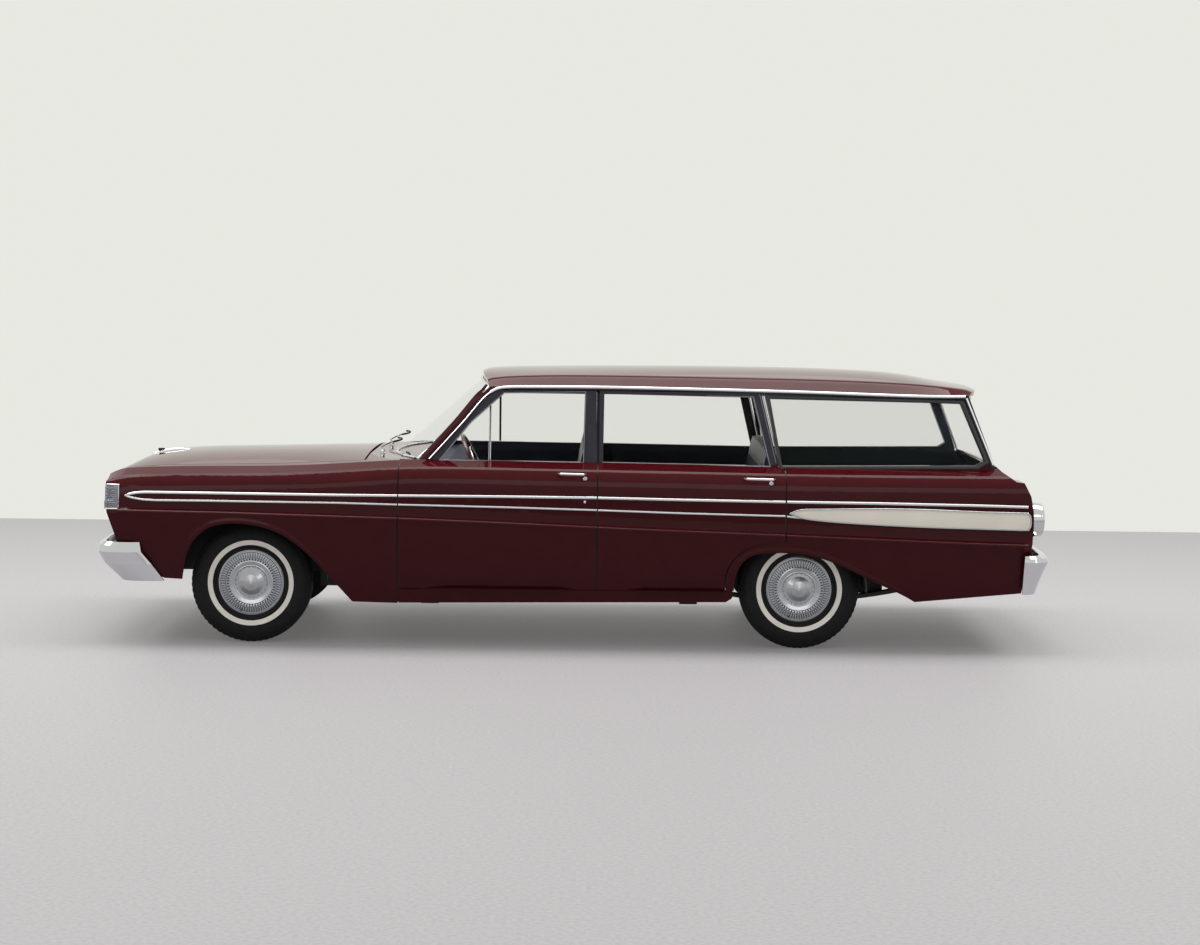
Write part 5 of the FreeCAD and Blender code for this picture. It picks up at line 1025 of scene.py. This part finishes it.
across_strip("tailgate_strip_high", 0.8, 0.006, 0.006, 0.6)
across_strip("tailgate_strip_low", 0.585, 0.006, 0.006, 0.6)
PX = GX - 0.003
BOLT = [(0.0001, 0.0062), (0.003, 0.0058), (0.0052, 0.004), (0.0055, 0.0022), (0.0001, 0.0022)]
shape = block(PX + 0.0003, PX + 0.0023, -0.1525, 0.1525, 0.608, 0.76, 0.0008, 1)
link("plate_blank", shape, blank_plate, "tailgate")
for y in (-0.089, 0.089):
    for z in (0.624, 0.745):
        name = "plate_bolt_%d_%d" % (round(y * 1000 + 100), round(z * 1000))
        link(name, revolve(BOLT, (PX, y, z), 16, "X"), steel, "tailgate")
link("tailgate_handle", block(GX - 0.008, GX + 0.012, -0.075, 0.075, 0.772, 0.788, 0.005), chrome, "tailgate")


# Camera, floor and light
def place_object(name, data):
    obj = bpy.data.objects.new(name, data)
    bpy.context.scene.collection.objects.link(obj)
    return obj


# Focal length in pixels and width of the photo, then the camera's place and its turns in radians
FOCAL_PIXELS, PHOTO_WIDTH, SENSOR = 2496.7, 1200, 36.0
CAMERA_PLACE = (0.081, -13.3641, 1.88)
YAW, PITCH, ROLL = 0.0038, 0.0787, 0.0123
camera = place_object("camera", bpy.data.cameras.new("camera"))
camera.data.sensor_width = SENSOR
camera.data.lens = FOCAL_PIXELS / PHOTO_WIDTH * SENSOR
camera.data.clip_end = 200.0
forward = Vector((sin(YAW) * cos(PITCH), cos(YAW) * cos(PITCH), -sin(PITCH)))
right = Vector((cos(YAW), -sin(YAW), 0))
up = right.cross(forward)
right, up = right * cos(ROLL) + up * sin(ROLL), up * cos(ROLL) - right * sin(ROLL)
rows = [(right[k], up[k], -forward[k], CAMERA_PLACE[k]) for k in range(3)]
camera.matrix_world = Matrix(rows + [(0, 0, 0, 1)])
bpy.context.scene.camera = camera

# The floor stops at the backdrop, whose colour glows beyond it
BACK, BACK_Y = (0.8, 0.81, 0.755, 1), 5.4
# The floor itself glows faintly: painted light that lifts the shade under and around the car
floor_material = new_material("studio_floor", Roughness=0.55, Emission_Color=(0.112, 0.11, 0.107, 1),
                              Emission_Strength=1.0)
vary_colour(floor_material, (0.17, 0.165, 0.171), (0.235, 0.228, 0.236), 60.0, 6.0, (0.3, 0.7))
t = floor_material.node_tree
split = add(t, "SeparateXYZ")
t.links.new(add(t, "TexCoord").outputs["Object"], split.inputs["Vector"])
beyond = add(t, "Math")
beyond.operation = "GREATER_THAN"
beyond.inputs[1].default_value = BACK_Y
t.links.new(split.outputs["Y"], beyond.inputs[0])
mix = add(t, "MixShader")
for source, target in zip((beyond, shader_of(floor_material), add(t, "Emission", Color=BACK)), mix.inputs):
    t.links.new(source.outputs[0], target)
t.links.new(mix.outputs[0], t.nodes["Material Output"].inputs["Surface"])
floor_mesh = bpy.data.meshes.new("floor")
floor_mesh.from_pydata([(-45, -30, 0), (45, -30, 0), (45, 60, 0), (-45, 60, 0)], [], [(0, 1, 2, 3)])
floor_mesh.materials.append(floor_material)
place_object("floor", floor_mesh)

world = bpy.context.scene.world or bpy.data.worlds.new("world")
bpy.context.scene.world = world
world.use_nodes = True
t = world.node_tree
t.nodes.clear()
rays, split = add(t, "LightPath"), add(t, "SeparateXYZ")
t.links.new(add(t, "TexCoord").outputs["Generated"], split.inputs["Vector"])


def blend(axis, low, high, first, second):
    """World colour that goes from first, a colour or a socket, to second as an axis goes from low to high."""
    span = add(t, "MapRange", From_Min=low, From_Max=high)
    t.links.new(split.outputs[axis], span.inputs["Value"])
    colours = add(t, "Mix")
    colours.data_type = "RGBA"
    set_sockets(colours, {"B": second})
    if isinstance(first, tuple):
        set_sockets(colours, {"A": first})
    else:
        t.links.new(first, colours.inputs["A"])
    t.links.new(span.outputs["Result"], colours.inputs["Factor"])
    return colours.outputs["Result"]


def larger(a, b):
    node = add(t, "Math")
    node.operation = "MAXIMUM"
    t.links.new(a, node.inputs[0])
    t.links.new(b, node.inputs[1])
    return node.outputs[0]


# Grey wall behind the camera with a darker upper part, a bright far side and ceiling
wall = blend("Z", 0.1, 0.3, (0.34, 0.34, 0.35, 1), (0.15, 0.15, 0.155, 1))
sky = blend("Y", -0.75, 0.25, wall, (1.06, 1.04, 1.05, 1))
around, plain, mix = add(t, "Background"), add(t, "Background", Color=BACK), add(t, "MixShader")
t.links.new(blend("Z", 0.55, 0.95, sky, (1.8, 1.76, 1.78, 1)), around.inputs["Color"])
seen = larger(rays.outputs["Is Camera Ray"], rays.outputs["Is Transmission Ray"])
t.links.new(larger(seen, rays.outputs["Is Glossy Ray"]), mix.inputs[0])
t.links.new(around.outputs[0], mix.inputs[1])
t.links.new(plain.outputs[0], mix.inputs[2])
t.links.new(mix.outputs[0], add(t, "OutputWorld").inputs["Surface"])


def area(name, place, target, width, height, power, colour=(1, 1, 1)):
    data = bpy.data.lights.new(name, "AREA")
    data.shape = "RECTANGLE"
    data.size, data.size_y = width, height
    data.energy = power
    data.color = colour
    lamp = place_object(name, data)
    lamp.location = place
    lamp.rotation_mode = "QUATERNION"
    lamp.rotation_quaternion = (Vector(target) - Vector(place)).to_track_quat("-Z", "Y")


area("overhead", (0, 0.4, 6.5), (0, 0.4, 0), 17.0, 3.2, 1000.0, (1.0, 0.98, 0.97))
area("camera_side", (0.0, -9.5, 6.0), (0, 0, 0.4), 20.0, 2.5, 190.0, (1.0, 0.96, 0.98))
area("far_side", (0.0, 8.5, 5.0), (0, 0, 0.6), 16.0, 3.0, 30.0)

bpy.context.scene.view_settings.view_transform = "Standard"
